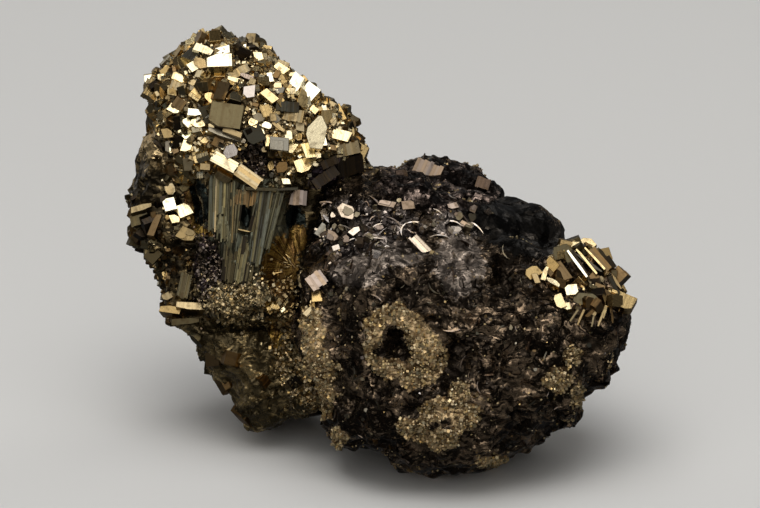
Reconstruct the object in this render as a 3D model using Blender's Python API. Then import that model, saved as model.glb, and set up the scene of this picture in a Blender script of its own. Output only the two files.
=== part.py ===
"""A natural mineral specimen, 80 mm wide: pyrite after pyrrhotite, grown together with a dark sulphide mass.

It is one piece, so it is one solid. A leaning head of pyrite blocks sits on a fluted prism, both in the
place of a stack of pyrrhotite plates. To the right is a dark, lumpy mass with grainy pyrite patches, a
few pale plates and a cluster of pyrite slabs on its shoulder.

The shapes are laid out on the display face, in millimetres: across runs to the right, up runs up the
face, and back runs into the specimen. The display face leans back from upright, and the whole stands on
two flat spots of its underside at z = 0, below the dark mass and below the heel at its back left. The
origin is below the middle of the specimen.
"""

import math
import random
from typing import NamedTuple

import bmesh
import bpy
from mathutils import Euler, Matrix, Vector, noise
from mathutils.bvhtree import BVHTree

MM = 0.001

# The display face: its lean from upright, and where its zero point is in the specimen's own frame, in mm.
FACE_LEAN = math.radians(20)
FACE_ZERO = Vector((0.1, -1, 33))

# The skin of the body: its first grid in mm, how many triangles it ends with, and how finely a lump is made.
SKIN_CELL = 1.1
SKIN_TRIANGLES = 3900
OUTLINE_SPLITS = 4
RINGS = 12

# The relief of the skin: each kind's grain in mm, and how far it stands out or in.
SWELLS = (9, 1.3)
BUMPS = (4.2, 0.7)
BROKEN_FACETS = (5.5, 1.1)


class Mass(NamedTuple):
    """A lump of the body: its outline on the display face, and how far it reaches forwards and back."""

    front: float
    middle: float
    back: float
    squareness: float
    outline: list


class Crystal(NamedTuple):
    """A flat-faced crystal. Its face is turned in the plane of the display face, then tipped up and sideways."""

    at: tuple
    size: tuple
    turn: float = 0
    tip: tuple = (0, 0)
    proud: float = 0.35


class Dent(NamedTuple):
    """A pit (a negative height) or a swelling of the body on the display face."""

    at: tuple
    radii: tuple
    height: float


MASSES = {
    "head": Mass(-7, 4, 19, 2.6, [
        (-35, 22), (-35.7, 26.3), (-34.2, 30.2), (-31, 32.8), (-28.3, 34.6), (-24, 34), (-19.6, 33.2),
        (-15.3, 29.6), (-10.2, 26.2), (-6.3, 23.2), (-4.5, 19.8), (-2.8, 16), (-2.6, 13), (-6.5, 10), (-12.5, 8),
        (-20.5, 8),
        (-27.5, 10), (-32, 13), (-34.5, 18)]),
    "prism": Mass(-5.5, 3, 18, 4, [
        (-29.5, 16.5), (-12.5, 16.5), (-8, 12.5), (-9, 6.5), (-11, 0), (-12.5, -7), (-15, -10), (-26, -10),
        (-28, -5.5), (-28.5, 2.5), (-29, 8.5)]),
    "flank": Mass(2, 10, 21, 2.4, [
        (-34.5, 22), (-36.5, 18), (-38, 13.5), (-38.8, 8), (-38.6, 4), (-37, 1), (-35.2, -2), (-34, -5.5),
        (-33.5, -9.5), (-29, -10.5), (-24.5, -8.5), (-23, 5.5), (-25, 19.5), (-30.5, 23.5)]),
    "lobe": Mass(1, 12, 25, 2.4, [
        (-34, -9.5), (-30.5, -11.5), (-29, -14.5), (-27.8, -17.5), (-24.6, -20), (-23, -22), (-21.8, -25.5),
        (-18.5, -26.9), (-14, -25.1), (-8.5, -23.7), (-4.5, -21), (-4.5, -10), (-14, -7), (-26, -7)]),
    "heel": Mass(12, 23, 32, 2.4, [
        (-26, -16), (-23, -23), (-18, -27), (-11, -25), (-5, -20), (-4, -8), (-10, 2), (-20, 2), (-27, -6)]),
    "dark mass": Mass(-19, 0, 21, 2.3, [
        (-12.5, -0.5), (-13, -12), (-10.5, -19.5), (-8.6, -25.4), (-6.8, -28.8), (-4, -30.3), (0.5, -32),
        (3.5, -34.1), (8, -34.3), (17, -33.6), (21.7, -31), (26.2, -28), (31, -26.7), (32.6, -22.6), (36.1, -19),
        (38.4, -15), (39.8, -11.5), (40, -8.5), (36.5, -4), (30, 0), (17.5, 4.5), (6.5, 7.5), (-6.5, 6.5)]),
    "shelf": Mass(-9, 4, 23, 2.4, [
        (-9.5, 11), (-1.5, 13.5), (2.5, 13.5), (15.5, 9.5), (22, 6.5), (22, -1), (6.5, -3), (-8, -3),
        (-12.5, 1)]),
    "brow": Mass(-21, -10, 4, 2.4, [
        (-7.5, -8), (-6, -2), (0, 1.5), (6.5, 2), (13, 0.5), (18, -4), (19, -12), (14, -19.5), (3, -22),
        (-5, -16.5)]),
    "black lobe": Mass(0, 9, 18, 2.4, [
        (14, 7), (19, 7.8), (23.5, 7.8), (26.8, 7), (29.2, 5), (29.8, 1.5), (27, -1), (19, -2.5), (14, 1)]),
    "knob": Mass(8, 16, 25, 2.3, [
        (0, 12), (3, 14), (7.5, 15), (10, 15), (13, 14.3), (16.5, 13.6), (18.9, 11.6), (19, 8.5), (15.5, 3),
        (3, 3), (-0.5, 8.5)]),
    "shoulder": Mass(-10, 0, 12, 2.6, [
        (22, -2), (25, 1), (28.5, 2.2), (32.5, 2), (34.8, 0), (36.7, -3.2), (38.6, -7.5), (36.5, -12),
        (28.5, -11), (23.5, -7)]),
    "back bulge": Mass(8, 17, 27, 2.2, [
        (-10, 4), (4, 9), (17, 5), (25, -8), (20, -20), (6, -24), (-8, -20), (-14, -8)]),
}

DENTS = {
    "hollow of the pyrite ring": Dent((2.8, -14), (1.9, 2.6), -3.2),
    "pyrite ring": Dent((4.3, -13.5), (6, 7), 1.0),
    "left pyrite patch": Dent((-10, -18), (3.5, 6.5), 0.9),
    "lower pyrite patch": Dent((9.5, -23.5), (5.5, 5), 0.9),
    "right pyrite patch": Dent((27, -18), (4.5, 4), 0.6),
    "recess above the ledge": Dent((-19.5, 14.5), (4.5, 2.2), -2.6),
    "cleft beside the prism": Dent((-11.5, 6), (2.6, 5), -3.5),
    "golden hollow": Dent((-15.5, -3.5), (2.6, 5), -2.0),
    "undercut below the prism": Dent((-20.5, -10.6), (6.5, 1.2), -2.2),
    "dark hollow of the prism": Dent((-26, -2.5), (2.5, 4), -1.6),
    "seam under the shelf": Dent((9, 1.8), (10, 1.1), -1.3),
    "seam beside the brow": Dent((19.5, -4), (1.6, 4), -1.4),
    "hollow under the black lobe": Dent((22, -1), (3, 1.3), -1.5),
    "notch of the lobe": Dent((-15, -24), (3, 1.2), -1.8),
}

# Blocks and slabs of pyrite, and pale plates on the dark mass, large enough to name by where they sit.
HEAD_CRYSTALS = [
    Crystal((-27.9, 33), (4, 1.3, 3), 28, (35, -10)),
    Crystal((-27.5, 32), (3.1, 1.6, 2.4), -12, (30, 0)),
    Crystal((-24.6, 32), (2.4, 1.6, 2.4), 18, (25, 5)),
    Crystal((-25, 29.6), (4, 2.4, 3.6), 0, (22, 0), 0.5),
    Crystal((-31.3, 27), (2.6, 2.4, 2.4), -14, (5, -15)),
    Crystal((-33.6, 27.2), (1.8, 1.8, 2), 10, (10, -30)),
    Crystal((-29.4, 22), (2.4, 1.6, 2), -8, (25, -5)),
    Crystal((-28.2, 20.2), (2.4, 2, 2), 12, (18, -8)),
    Crystal((-30, 18.6), (2, 2, 2), 5, (20, -8)),
    Crystal((-30.4, 16.8), (1.7, 2.2, 2), 4, (12, -8)),
    Crystal((-30.8, 14.6), (2, 2, 2), 42, (10, -14)),
    Crystal((-33, 19.4), (1.9, 1.8, 2), 8, (10, -30)),
    Crystal((-23.8, 21.8), (5.3, 4.2, 3.6), -6, (2, -4), 0.45),
    Crystal((-20.4, 25.2), (1.9, 2, 2), 20, (5, -20)),
    Crystal((-25.8, 24.4), (1.6, 2.2, 1.8), -30, (15, 10)),
    Crystal((-17.3, 25), (1.8, 2.6, 2), -34, (18, 10)),
    Crystal((-14.8, 26.6), (2.4, 2.2, 2.4), -36, (30, 20)),
    Crystal((-12.8, 25), (2.6, 3.4, 2.6), -34, (26, 16), 0.3),
    Crystal((-10.6, 23.6), (3.2, 4, 2.8), -34, (26, 16), 0.35),
    Crystal((-14.3, 22), (4.2, 2.8, 2.6), -6, (-4, -4), 0.4),
    Crystal((-10.3, 19.6), (3, 5.6, 3), -8, (10, 6), 0.5),
    Crystal((-9.3, 17.2), (2.2, 1.9, 2), 4, (24, 2), 0.6),
    Crystal((-6, 18.6), (2.8, 1.6, 2), 20, (20, 10)),
    Crystal((-5.6, 16.8), (4.4, 2.4, 3), 14, (-6, 10), 0.4),
    Crystal((-12.5, 14), (2.8, 2.3, 2.4), 20, (14, 6)),
    Crystal((-15.6, 14.6), (2, 1.8, 2), 10, (-6, -10)),
    Crystal((-2.4, 15.8), (2, 2.4, 2.4), 12, (6, 24)),
    Crystal((-20.5, 19.8), (3.6, 1.3, 2), -16, (0, 10)),
    Crystal((-17.8, 20.2), (2, 1.6, 2), 30, (24, 4)),
    Crystal((-6.4, 20.8), (2, 2.4, 2), -30, (6, 22)),
    Crystal((-21.6, 31.8), (2.4, 1.8, 2.6), -30, (10, 20)),
    Crystal((-18.4, 28.8), (2.6, 2.2, 2.4), -20, (14, 16)),
]

LEDGE_CRYSTALS = [
    Crystal((-23, 14), (4.8, 2.3, 4), -30, (16, 6), 0.65),
    Crystal((-18.6, 12), (5.2, 2.1, 4), -24, (8, 6), 0.6),
    Crystal((-23.4, 16), (1.9, 1.9, 2), 30, (0, 0), 0.5),
    Crystal((-12.5, 9.4), (2.9, 2.9, 2.6), -4, (-8, 0), 0.5),
    Crystal((-32.5, -9.2), (3.4, 1.3, 4), -8, (0, -10), 0.6),
    Crystal((-28.8, -9), (6, 1.3, 4.6), -3, (0, -4), 0.7),
]

FLANK_CRYSTALS = [
    Crystal((-32.8, 10.2), (1.8, 2, 2), 4, (10, -8), 0.5),
    Crystal((-33, 7.6), (2.3, 2.3, 2.4), 12, (24, -6), 0.55),
    Crystal((-30.8, 6.6), (1.9, 2.7, 2.4), 24, (20, 0), 0.55),
    Crystal((-30.2, 3), (3.2, 2.2, 2.4), -24, (8, 0), 0.5),
    Crystal((-37, 7), (4, 2.4, 3), 16, (0, -20), 0.5),
    Crystal((-35.3, 4.6), (1.5, 4.8, 2), -10, (0, -10), 0.5),
    Crystal((-37, -0.2), (1.6, 1.8, 2), 10, (10, -24), 0.4),
    Crystal((-33.8, -3.2), (1.4, 1.4, 1.6), 20, (10, -10), 0.4),
    Crystal((-30.7, -5.4), (2.2, 4, 2.4), -14, (0, -8), 0.4),
]

DARK_MASS_CRYSTALS = [
    Crystal((-6, 6.4), (3.2, 2.5, 1.6), -14, (28, 0), 0.5),
    Crystal((6.8, 0.9), (1.7, 4.6, 2), 34, (16, 4), 0.5),
    Crystal((-8.8, 6.6), (2.2, 0.9, 1.6), -36, (20, 0), 0.5),
    Crystal((-7.9, 4.2), (3, 2.2, 2), 10, (0, -10), 0.4),
    Crystal((4.7, 5.2), (2.4, 1.5, 1.6), 20, (6, 0), 0.4),
    Crystal((-10.4, -3.4), (2.4, 2.3, 1.4), 30, (6, -10), 0.5),
    Crystal((-10.3, -5.6), (1.4, 1.9, 1.6), 4, (6, -4), 0.6),
    Crystal((-12.8, -2.4), (1.3, 2.2, 1.6), -20, (10, -10), 0.4),
    Crystal((14, 5), (3.6, 1.4, 2), -20, (20, 0), 0.3),
]

SHOULDER_CRYSTALS = [
    Crystal((31, -1.6), (1, 5.8, 3.4), 44, (10, -10), 0.7),
    Crystal((32.6, -1), (1, 5.4, 3.4), 44, (10, -10), 0.75),
    Crystal((34.2, -0.8), (2.6, 4.6, 3.4), 40, (0, 8), 0.55),
    Crystal((35.5, -1.6), (1.6, 5, 2.6), 36, (16, 24), 0.4),
    Crystal((37.1, -6.6), (3.6, 2.3, 2.6), -24, (10, 24), 0.4),
    Crystal((28.4, -5), (2, 1.8, 2), 6, (22, 0), 0.6),
    Crystal((24.9, -1.6), (0.9, 3, 2), -14, (10, -6), 0.6),
    Crystal((26, -3.6), (2.7, 0.9, 2), -32, (12, -4), 0.6),
    Crystal((22.7, -2.2), (2.2, 1.9, 2), 30, (10, -12), 0.4),
    Crystal((27.2, -0.6), (2.9, 2.8, 2.6), 20, (-6, -6), 0.45),
    Crystal((26.6, -6), (1.3, 2.6, 1.8), 20, (10, -10), 0.4),
    Crystal((30.8, 1.5), (2.8, 2.2, 2.4), 20, (14, 0), 0.4),
    Crystal((34.4, -4.4), (1, 3.6, 2.4), 20, (0, 6), 0.4),
]

# The fluted prism: a row of standing ribs across its face, from left to right.
RIB_COUNT = 11
RIB_ROW = ((-26.6, 12.5), (-13.4, 9))
RIB_LENGTHS = (14, 20)
RIB_WIDTH = 1.5
RIB_LEAN = 8

# Smaller blocks, scattered over the pyrite: how often a face of the skin carries one, and how deep it sits.
SCATTER_SEED = 11
SCATTER_SIZES = (1.3, 2.8)
SCATTER_FRONT = 0.16
SCATTER_BACK = 0.11
SCATTER_FLANK = 0.09
SCATTER_SUNK = 0.15
SCATTER_TILT = 0.5

# The display face is looked at from in front of every lump, and rim crystals sit this far back on its edge.
LOOK_FROM = -60
RIM_BACK = 8

GROUND_WIDTH = 200
GROUND_DEPTH = 20


def face_vector(across, up, back):
    """A step in millimetres along the display face's own directions, in the specimen's frame."""
    y = up * math.sin(FACE_LEAN) + back * math.cos(FACE_LEAN)
    z = up * math.cos(FACE_LEAN) - back * math.sin(FACE_LEAN)
    return Vector((across, y, z))


def face_point(across, up, back):
    """A point on or behind the display face, in millimetres in the specimen's frame."""
    return FACE_ZERO + face_vector(across, up, back)


FACE_AXES = Matrix([face_vector(1, 0, 0), face_vector(0, 1, 0), face_vector(0, 0, -1)]).transposed()


def smooth_loop(points):
    """The closed outline with extra points between its corners, on a Catmull-Rom curve."""
    count = len(points)
    loop = []
    for i in range(count):
        before, start, end, after = (Vector(points[(i + k) % count]) for k in (-1, 0, 1, 2))
        for step in range(OUTLINE_SPLITS):
            t = step / OUTLINE_SPLITS
            loop.append(0.5 * (
                2 * start + (end - before) * t
                + (2 * before - 5 * start + 4 * end - after) * t * t
                + (3 * start - before - 3 * end + after) * t ** 3))
    return loop


def add_lump(mesh, mass):
    """Adds a closed lump to the mesh: rings of the outline, drawn in towards its front and its back."""
    loop = smooth_loop(mass.outline)
    centre = sum(loop, Vector((0, 0))) / len(loop)
    rings = []
    for ring in range(1, RINGS):
        reach = math.sin(math.pi * (ring / RINGS - 0.5))
        spread = (1 - abs(reach) ** mass.squareness) ** (1 / mass.squareness)
        end = mass.back if reach > 0 else mass.front
        back = mass.middle + abs(reach) * (end - mass.middle)
        drawn_in = [centre + spread * (point - centre) for point in loop]
        rings.append([mesh.verts.new(face_point(p.x, p.y, back)) for p in drawn_in])
    for ring, following in zip(rings, rings[1:]):
        for i in range(len(loop)):
            mesh.faces.new((ring[i - 1], following[i - 1], following[i], ring[i]))
    for ring, back in ((rings[0][::-1], mass.front), (rings[-1], mass.back)):
        pole = mesh.verts.new(face_point(centre.x, centre.y, back))
        for i in range(len(loop)):
            mesh.faces.new((ring[i], ring[i - 1], pole))


def baked(obj):
    """A copy of the object's mesh with its modifiers in it."""
    bpy.context.view_layer.update()
    evaluated = obj.evaluated_get(bpy.context.evaluated_depsgraph_get())
    return bpy.data.meshes.new_from_object(evaluated)


def new_object(name, mesh):
    """A bmesh in millimetres as a scene object in metres."""
    data = bpy.data.meshes.new(name)
    mesh.to_mesh(data)
    mesh.free()
    data.transform(Matrix.Scale(MM, 4))
    obj = bpy.data.objects.new(name, data)
    bpy.context.scene.collection.objects.link(obj)
    return obj


def broken_facets(point):
    """The height of a surface broken into cells, where each cell is a small plane with its own tilt."""
    size, amount = BROKEN_FACETS
    _, (seed, *_) = noise.voronoi(point / size)
    tilt = noise.cell_vector(seed * 7.3) - Vector((0.5, 0.5, 0.5))
    return amount * 2 * (point / size - seed).dot(tilt)


def relief(point, towards_viewer):
    """How far the body's skin stands out of its lumps at a point, in millimetres."""
    height = broken_facets(point)
    for shift, (size, amount) in enumerate((SWELLS, BUMPS)):
        height += amount * noise.noise(point / size + Vector((7, 1, 3)) * shift)
    across, up, _ = FACE_AXES.transposed() @ (point - FACE_ZERO)
    for dent in DENTS.values():
        x = (across - dent.at[0]) / dent.radii[0]
        y = (up - dent.at[1]) / dent.radii[1]
        height += dent.height * math.exp(-((x * x + y * y) ** 1.5)) * towards_viewer
    return height


def body_skin():
    """The body without its crystals: the lumps fused into one skin, given their relief, then made coarser."""
    lumps = bmesh.new()
    for mass in MASSES.values():
        add_lump(lumps, mass)
    skin = new_object("skin", lumps)
    fuse = skin.modifiers.new("fuse", "REMESH")
    fuse.mode = "VOXEL"
    fuse.voxel_size = SKIN_CELL * MM
    soften = skin.modifiers.new("soften", "SMOOTH")
    soften.iterations = 3
    skin.data = baked(skin)
    skin.modifiers.clear()
    viewer = face_vector(0, 0, -1)
    moved = []
    for vertex in skin.data.vertices:
        point = vertex.co / MM
        towards_viewer = min(1, max(0, 2 * vertex.normal.dot(viewer)))
        moved.append(vertex.co + vertex.normal * relief(point, towards_viewer) * MM)
    for vertex, place in zip(skin.data.vertices, moved):
        vertex.co = place
    thin = skin.modifiers.new("thin out", "DECIMATE")
    skin.data.calc_loop_triangles()
    thin.ratio = SKIN_TRIANGLES / len(skin.data.loop_triangles)
    skin.data = baked(skin)
    skin.modifiers.clear()
    return skin


def block(name, place, axes, size):
    """A flat-faced block of pyrite, which the body is joined with later."""
    mesh = bmesh.new()
    bmesh.ops.create_cube(mesh, size=1)
    bmesh.ops.scale(mesh, vec=size, verts=mesh.verts)
    bmesh.ops.transform(mesh, matrix=Matrix.Translation(place) @ axes.to_4x4(), verts=mesh.verts)
    obj = new_object(name, mesh)
    obj.hide_render = True
    obj.display_type = "WIRE"
    return obj


def seat_on_face(surface, crystal, name):
    """The crystal as a block, seated where the viewer's line of sight meets the body, or on its rim."""
    hit, _, _, _ = surface.ray_cast(face_point(*crystal.at, LOOK_FROM) * MM, face_vector(0, 0, 1))
    if hit is None:
        hit, _, _, _ = surface.find_nearest(face_point(*crystal.at, RIM_BACK) * MM)
    tip_up, tip_right = (math.radians(angle) for angle in crystal.tip)
    turn = Euler((-tip_up, tip_right, math.radians(crystal.turn)), "ZXY").to_matrix()
    axes = FACE_AXES @ turn
    depth = crystal.size[2]
    outwards = axes.col[2]
    place = hit / MM + outwards * (crystal.proud - 0.5) * depth
    return block(name, place, axes, crystal.size)


def face_blocks(surface):
    """The crystals that the display face shows, in their groups."""
    groups = {
        "head": HEAD_CRYSTALS,
        "ledge": LEDGE_CRYSTALS,
        "flank": FLANK_CRYSTALS,
        "dark_mass": DARK_MASS_CRYSTALS,
        "shoulder": SHOULDER_CRYSTALS,
    }
    return [
        seat_on_face(surface, crystal, f"{group}_crystal_{i}")
        for group, crystals in groups.items()
        for i, crystal in enumerate(crystals)
    ]


def ribs(surface, chance):
    """The standing ribs of the fluted prism, side by side and a little uneven."""
    (left, left_up), (right, right_up) = RIB_ROW
    made = []
    for i in range(RIB_COUNT):
        along = i / (RIB_COUNT - 1)
        length = chance.uniform(*RIB_LENGTHS)
        top = left_up + (right_up - left_up) * along + chance.uniform(-0.8, 0.4)
        across = left + (right - left) * along
        sway = math.tan(math.radians(RIB_LEAN)) * length / 2
        rib = Crystal(
            (across - sway, top - length / 2),
            (RIB_WIDTH * chance.uniform(0.7, 1.1), length, chance.uniform(4.5, 5.4)),
            -RIB_LEAN, (0, chance.uniform(-8, 8)), 0.3)
        made.append(seat_on_face(surface, rib, f"rib_{i}"))
    return made


def scattered_blocks(skin, chance):
    """Smaller blocks all over the pyrite head and its flank, each more than half sunk in the skin."""
    viewer = face_vector(0, 0, -1)
    made = []
    for polygon in skin.data.polygons:
        place = polygon.center / MM
        across, up, _ = FACE_AXES.transposed() @ (place - FACE_ZERO)
        if up > 13 and across < -2:
            share = SCATTER_FRONT if polygon.normal.dot(viewer) > 0.3 else SCATTER_BACK
        elif up > -8 and across < -31:
            share = SCATTER_FLANK
        else:
            share = 0
        if chance.random() >= share:
            continue
        size = [chance.uniform(*SCATTER_SIZES) for _ in range(3)]
        lie = polygon.normal.to_track_quat("Z", "Y").to_matrix()
        tilts = [chance.uniform(-SCATTER_TILT, SCATTER_TILT) for _ in range(2)]
        axes = lie @ Euler([*tilts, chance.uniform(0, math.pi)]).to_matrix()
        place = place - polygon.normal * SCATTER_SUNK * size[2]
        made.append(block(f"small_crystal_{len(made)}", place, axes, size))
    return made


def keep_largest_body(obj):
    """Drops the tiny closed bubbles that are left between overlapping blocks."""
    mesh = bmesh.new()
    mesh.from_mesh(obj.data)
    unseen = set(mesh.verts)
    bodies = []
    while unseen:
        body = {unseen.pop()}
        edge = set(body)
        while edge:
            edge = {link.other_vert(vert) for vert in edge for link in vert.link_edges} & unseen
            unseen -= edge
            body |= edge
        bodies.append(body)
    largest = max(bodies, key=len)
    bmesh.ops.delete(mesh, geom=[vert for vert in mesh.verts if vert not in largest])
    mesh.to_mesh(obj.data)
    mesh.free()


def ground_cutter():
    """The space below the surface that the specimen stands on, cut from its underside."""
    size = (GROUND_WIDTH, GROUND_WIDTH, GROUND_DEPTH)
    return block("ground", Vector((0, 0, -GROUND_DEPTH / 2)), Matrix.Identity(3), size)


def sulphide_material():
    """The dark, half-metallic look of the specimen as a whole."""
    material = bpy.data.materials.new("sulphide")
    material.use_nodes = True
    shader = material.node_tree.nodes["Principled BSDF"]
    shader.inputs["Base Color"].default_value = (0.27, 0.21, 0.12, 1)
    shader.inputs["Roughness"].default_value = 0.35
    shader.inputs["Metallic"].default_value = 0.8
    return material


def main():
    """Builds the specimen as one solid."""
    for obj in list(bpy.data.objects):
        bpy.data.objects.remove(obj)
    chance = random.Random(SCATTER_SEED)
    specimen = body_skin()
    specimen.name = "pyrite_specimen"
    surface = BVHTree.FromObject(specimen, bpy.context.evaluated_depsgraph_get())
    crystals = bpy.data.collections.new("crystals")
    bpy.context.scene.collection.children.link(crystals)
    blocks = face_blocks(surface) + ribs(surface, chance) + scattered_blocks(specimen, chance)
    for obj in blocks:
        bpy.context.scene.collection.objects.unlink(obj)
        crystals.objects.link(obj)
    join = specimen.modifiers.new("crystals", "BOOLEAN")
    join.operation = "UNION"
    join.operand_type = "COLLECTION"
    join.collection = crystals
    stand = specimen.modifiers.new("ground", "BOOLEAN")
    stand.operation = "DIFFERENCE"
    stand.object = ground_cutter()
    specimen.data = baked(specimen)
    specimen.modifiers.clear()
    keep_largest_body(specimen)
    specimen.data.materials.append(sulphide_material())


main()
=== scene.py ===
"""The looks of a natural mineral specimen: pyrite after pyrrhotite, grown together with a dark sulphide mass.

A leaning head of packed pyrite crystals stands on a fluted prism. To its right is a lumpy black-brown mass
with grainy pyrite patches, silvery plates on its shelf and a cluster of pyrite slabs on its shoulder.

Shapes are laid out on the display face, in millimetres: across runs to the right, up runs up the face, and
back runs into the specimen, as in the specimen's solid. Blender's own units stay metres.
"""

import itertools
import logging
import math
from collections import defaultdict
from dataclasses import dataclass, field
from enum import Enum
from typing import Iterator, Optional, Sequence, Union

import bmesh
import bpy
import numpy as np
from mathutils import Euler, Matrix, Vector, noise
from mathutils.bvhtree import BVHTree


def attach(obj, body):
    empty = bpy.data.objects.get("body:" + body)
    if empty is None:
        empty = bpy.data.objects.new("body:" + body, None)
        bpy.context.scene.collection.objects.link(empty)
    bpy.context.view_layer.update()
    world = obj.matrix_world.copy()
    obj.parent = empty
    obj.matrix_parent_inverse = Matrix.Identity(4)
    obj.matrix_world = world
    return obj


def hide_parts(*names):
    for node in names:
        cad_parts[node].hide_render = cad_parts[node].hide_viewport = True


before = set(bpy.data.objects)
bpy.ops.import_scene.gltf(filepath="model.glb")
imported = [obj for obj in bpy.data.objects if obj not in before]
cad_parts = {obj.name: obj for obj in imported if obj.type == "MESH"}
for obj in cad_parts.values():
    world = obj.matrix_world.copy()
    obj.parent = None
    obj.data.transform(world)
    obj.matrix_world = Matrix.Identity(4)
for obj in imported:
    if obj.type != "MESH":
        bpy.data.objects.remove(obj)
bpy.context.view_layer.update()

LOG = logging.getLogger("specimen")

MM = 0.001
NODE = "pyrite_specimen"
BODY = "root"
NOISE_SEED = 3

FACE_LEAN = math.radians(20)
FACE_ZERO = Vector((0.1, -1, 33))
LOOK_FROM = -60
RIM_BACK = 8

Pair = tuple[float, float]
Triple = tuple[float, float, float]
Colour = tuple[float, float, float]
Numbers = Union[float, np.ndarray]


def face_vector(across: float, up: float, back: float) -> Vector:
    """A step in millimetres along the display face's own directions, in the specimen's frame.

    Args:
        across: Millimetres to the right.
        up: Millimetres up the face.
        back: Millimetres into the specimen.

    Returns:
        The step in the specimen's frame, in millimetres.
    """
    y = up * math.sin(FACE_LEAN) + back * math.cos(FACE_LEAN)
    z = up * math.cos(FACE_LEAN) - back * math.sin(FACE_LEAN)
    return Vector((across, y, z))


def face_point(across: float, up: float, back: float) -> Vector:
    """A point on or behind the display face, in millimetres in the specimen's frame."""
    return FACE_ZERO + face_vector(across, up, back)


VIEWER = face_vector(0, 0, -1)
FACE_AXES = Matrix([face_vector(1, 0, 0), face_vector(0, 1, 0), VIEWER]).transposed()


def on_face(points: np.ndarray) -> np.ndarray:
    """Points as across, up and back on the display face.

    Args:
        points: Rows of x, y and z in millimetres.

    Returns:
        Rows of across, up and back.
    """
    steps = (points - np.array(FACE_ZERO)) @ np.array(FACE_AXES)
    steps[:, 2] *= -1
    return steps


def on_face_point(point: Vector) -> Triple:
    """A point as across, up and back on the display face, in millimetres."""
    step = point - FACE_ZERO
    return step.dot(FACE_AXES.col[0]), step.dot(FACE_AXES.col[1]), -step.dot(FACE_AXES.col[2])


def soft_step(low: float, high: float, values: np.ndarray) -> np.ndarray:
    """The usual soft step from 0 at low to 1 at high."""
    t = np.clip((values - low) / (high - low), 0, 1)
    return t * t * (3 - 2 * t)


class Value:
    """A socket of a material whose maths is written as Python: each operator adds a Math node."""

    def __init__(self, shader: "Shader", socket: bpy.types.NodeSocket) -> None:
        """Wraps the socket of a node in this shader."""
        self.shader = shader
        self.socket = socket

    def _maths(self, operation: str, first: "Number", second: "Number") -> "Value":
        """A Math node of two values."""
        made = self.shader.node("ShaderNodeMath", {"operation": operation}, {0: first, 1: second})
        return Value(self.shader, made.outputs[0])

    def __add__(self, other: "Number") -> "Value":
        """This plus another."""
        return self._maths("ADD", self, other)

    def __radd__(self, other: "Number") -> "Value":
        """Another plus this."""
        return self._maths("ADD", other, self)

    def __sub__(self, other: "Number") -> "Value":
        """This less another."""
        return self._maths("SUBTRACT", self, other)

    def __rsub__(self, other: "Number") -> "Value":
        """Another less this."""
        return self._maths("SUBTRACT", other, self)

    def __mul__(self, other: "Number") -> "Value":
        """This times another."""
        return self._maths("MULTIPLY", self, other)

    def __rmul__(self, other: "Number") -> "Value":
        """Another times this."""
        return self._maths("MULTIPLY", other, self)

    def step(self, low: float, high: float) -> "Value":
        """A soft step of this value, from 0 where it is low to 1 where it is high."""
        made = self.shader.node(
            "ShaderNodeMapRange", {"interpolation_type": "SMOOTHSTEP"}, {0: self, 1: low, 2: high})
        return Value(self.shader, made.outputs[0])

    def to_and_fro(self, reach: float) -> "Value":
        """This value folded to run up to the reach and down to 0 again and again."""
        return self._maths("PINGPONG", self, reach)


Number = Union[Value, float]
MIDDLE_GREY = (0.5, 0.5, 0.5)
ASKEW = (0.9, 0.5, -0.7)


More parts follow.
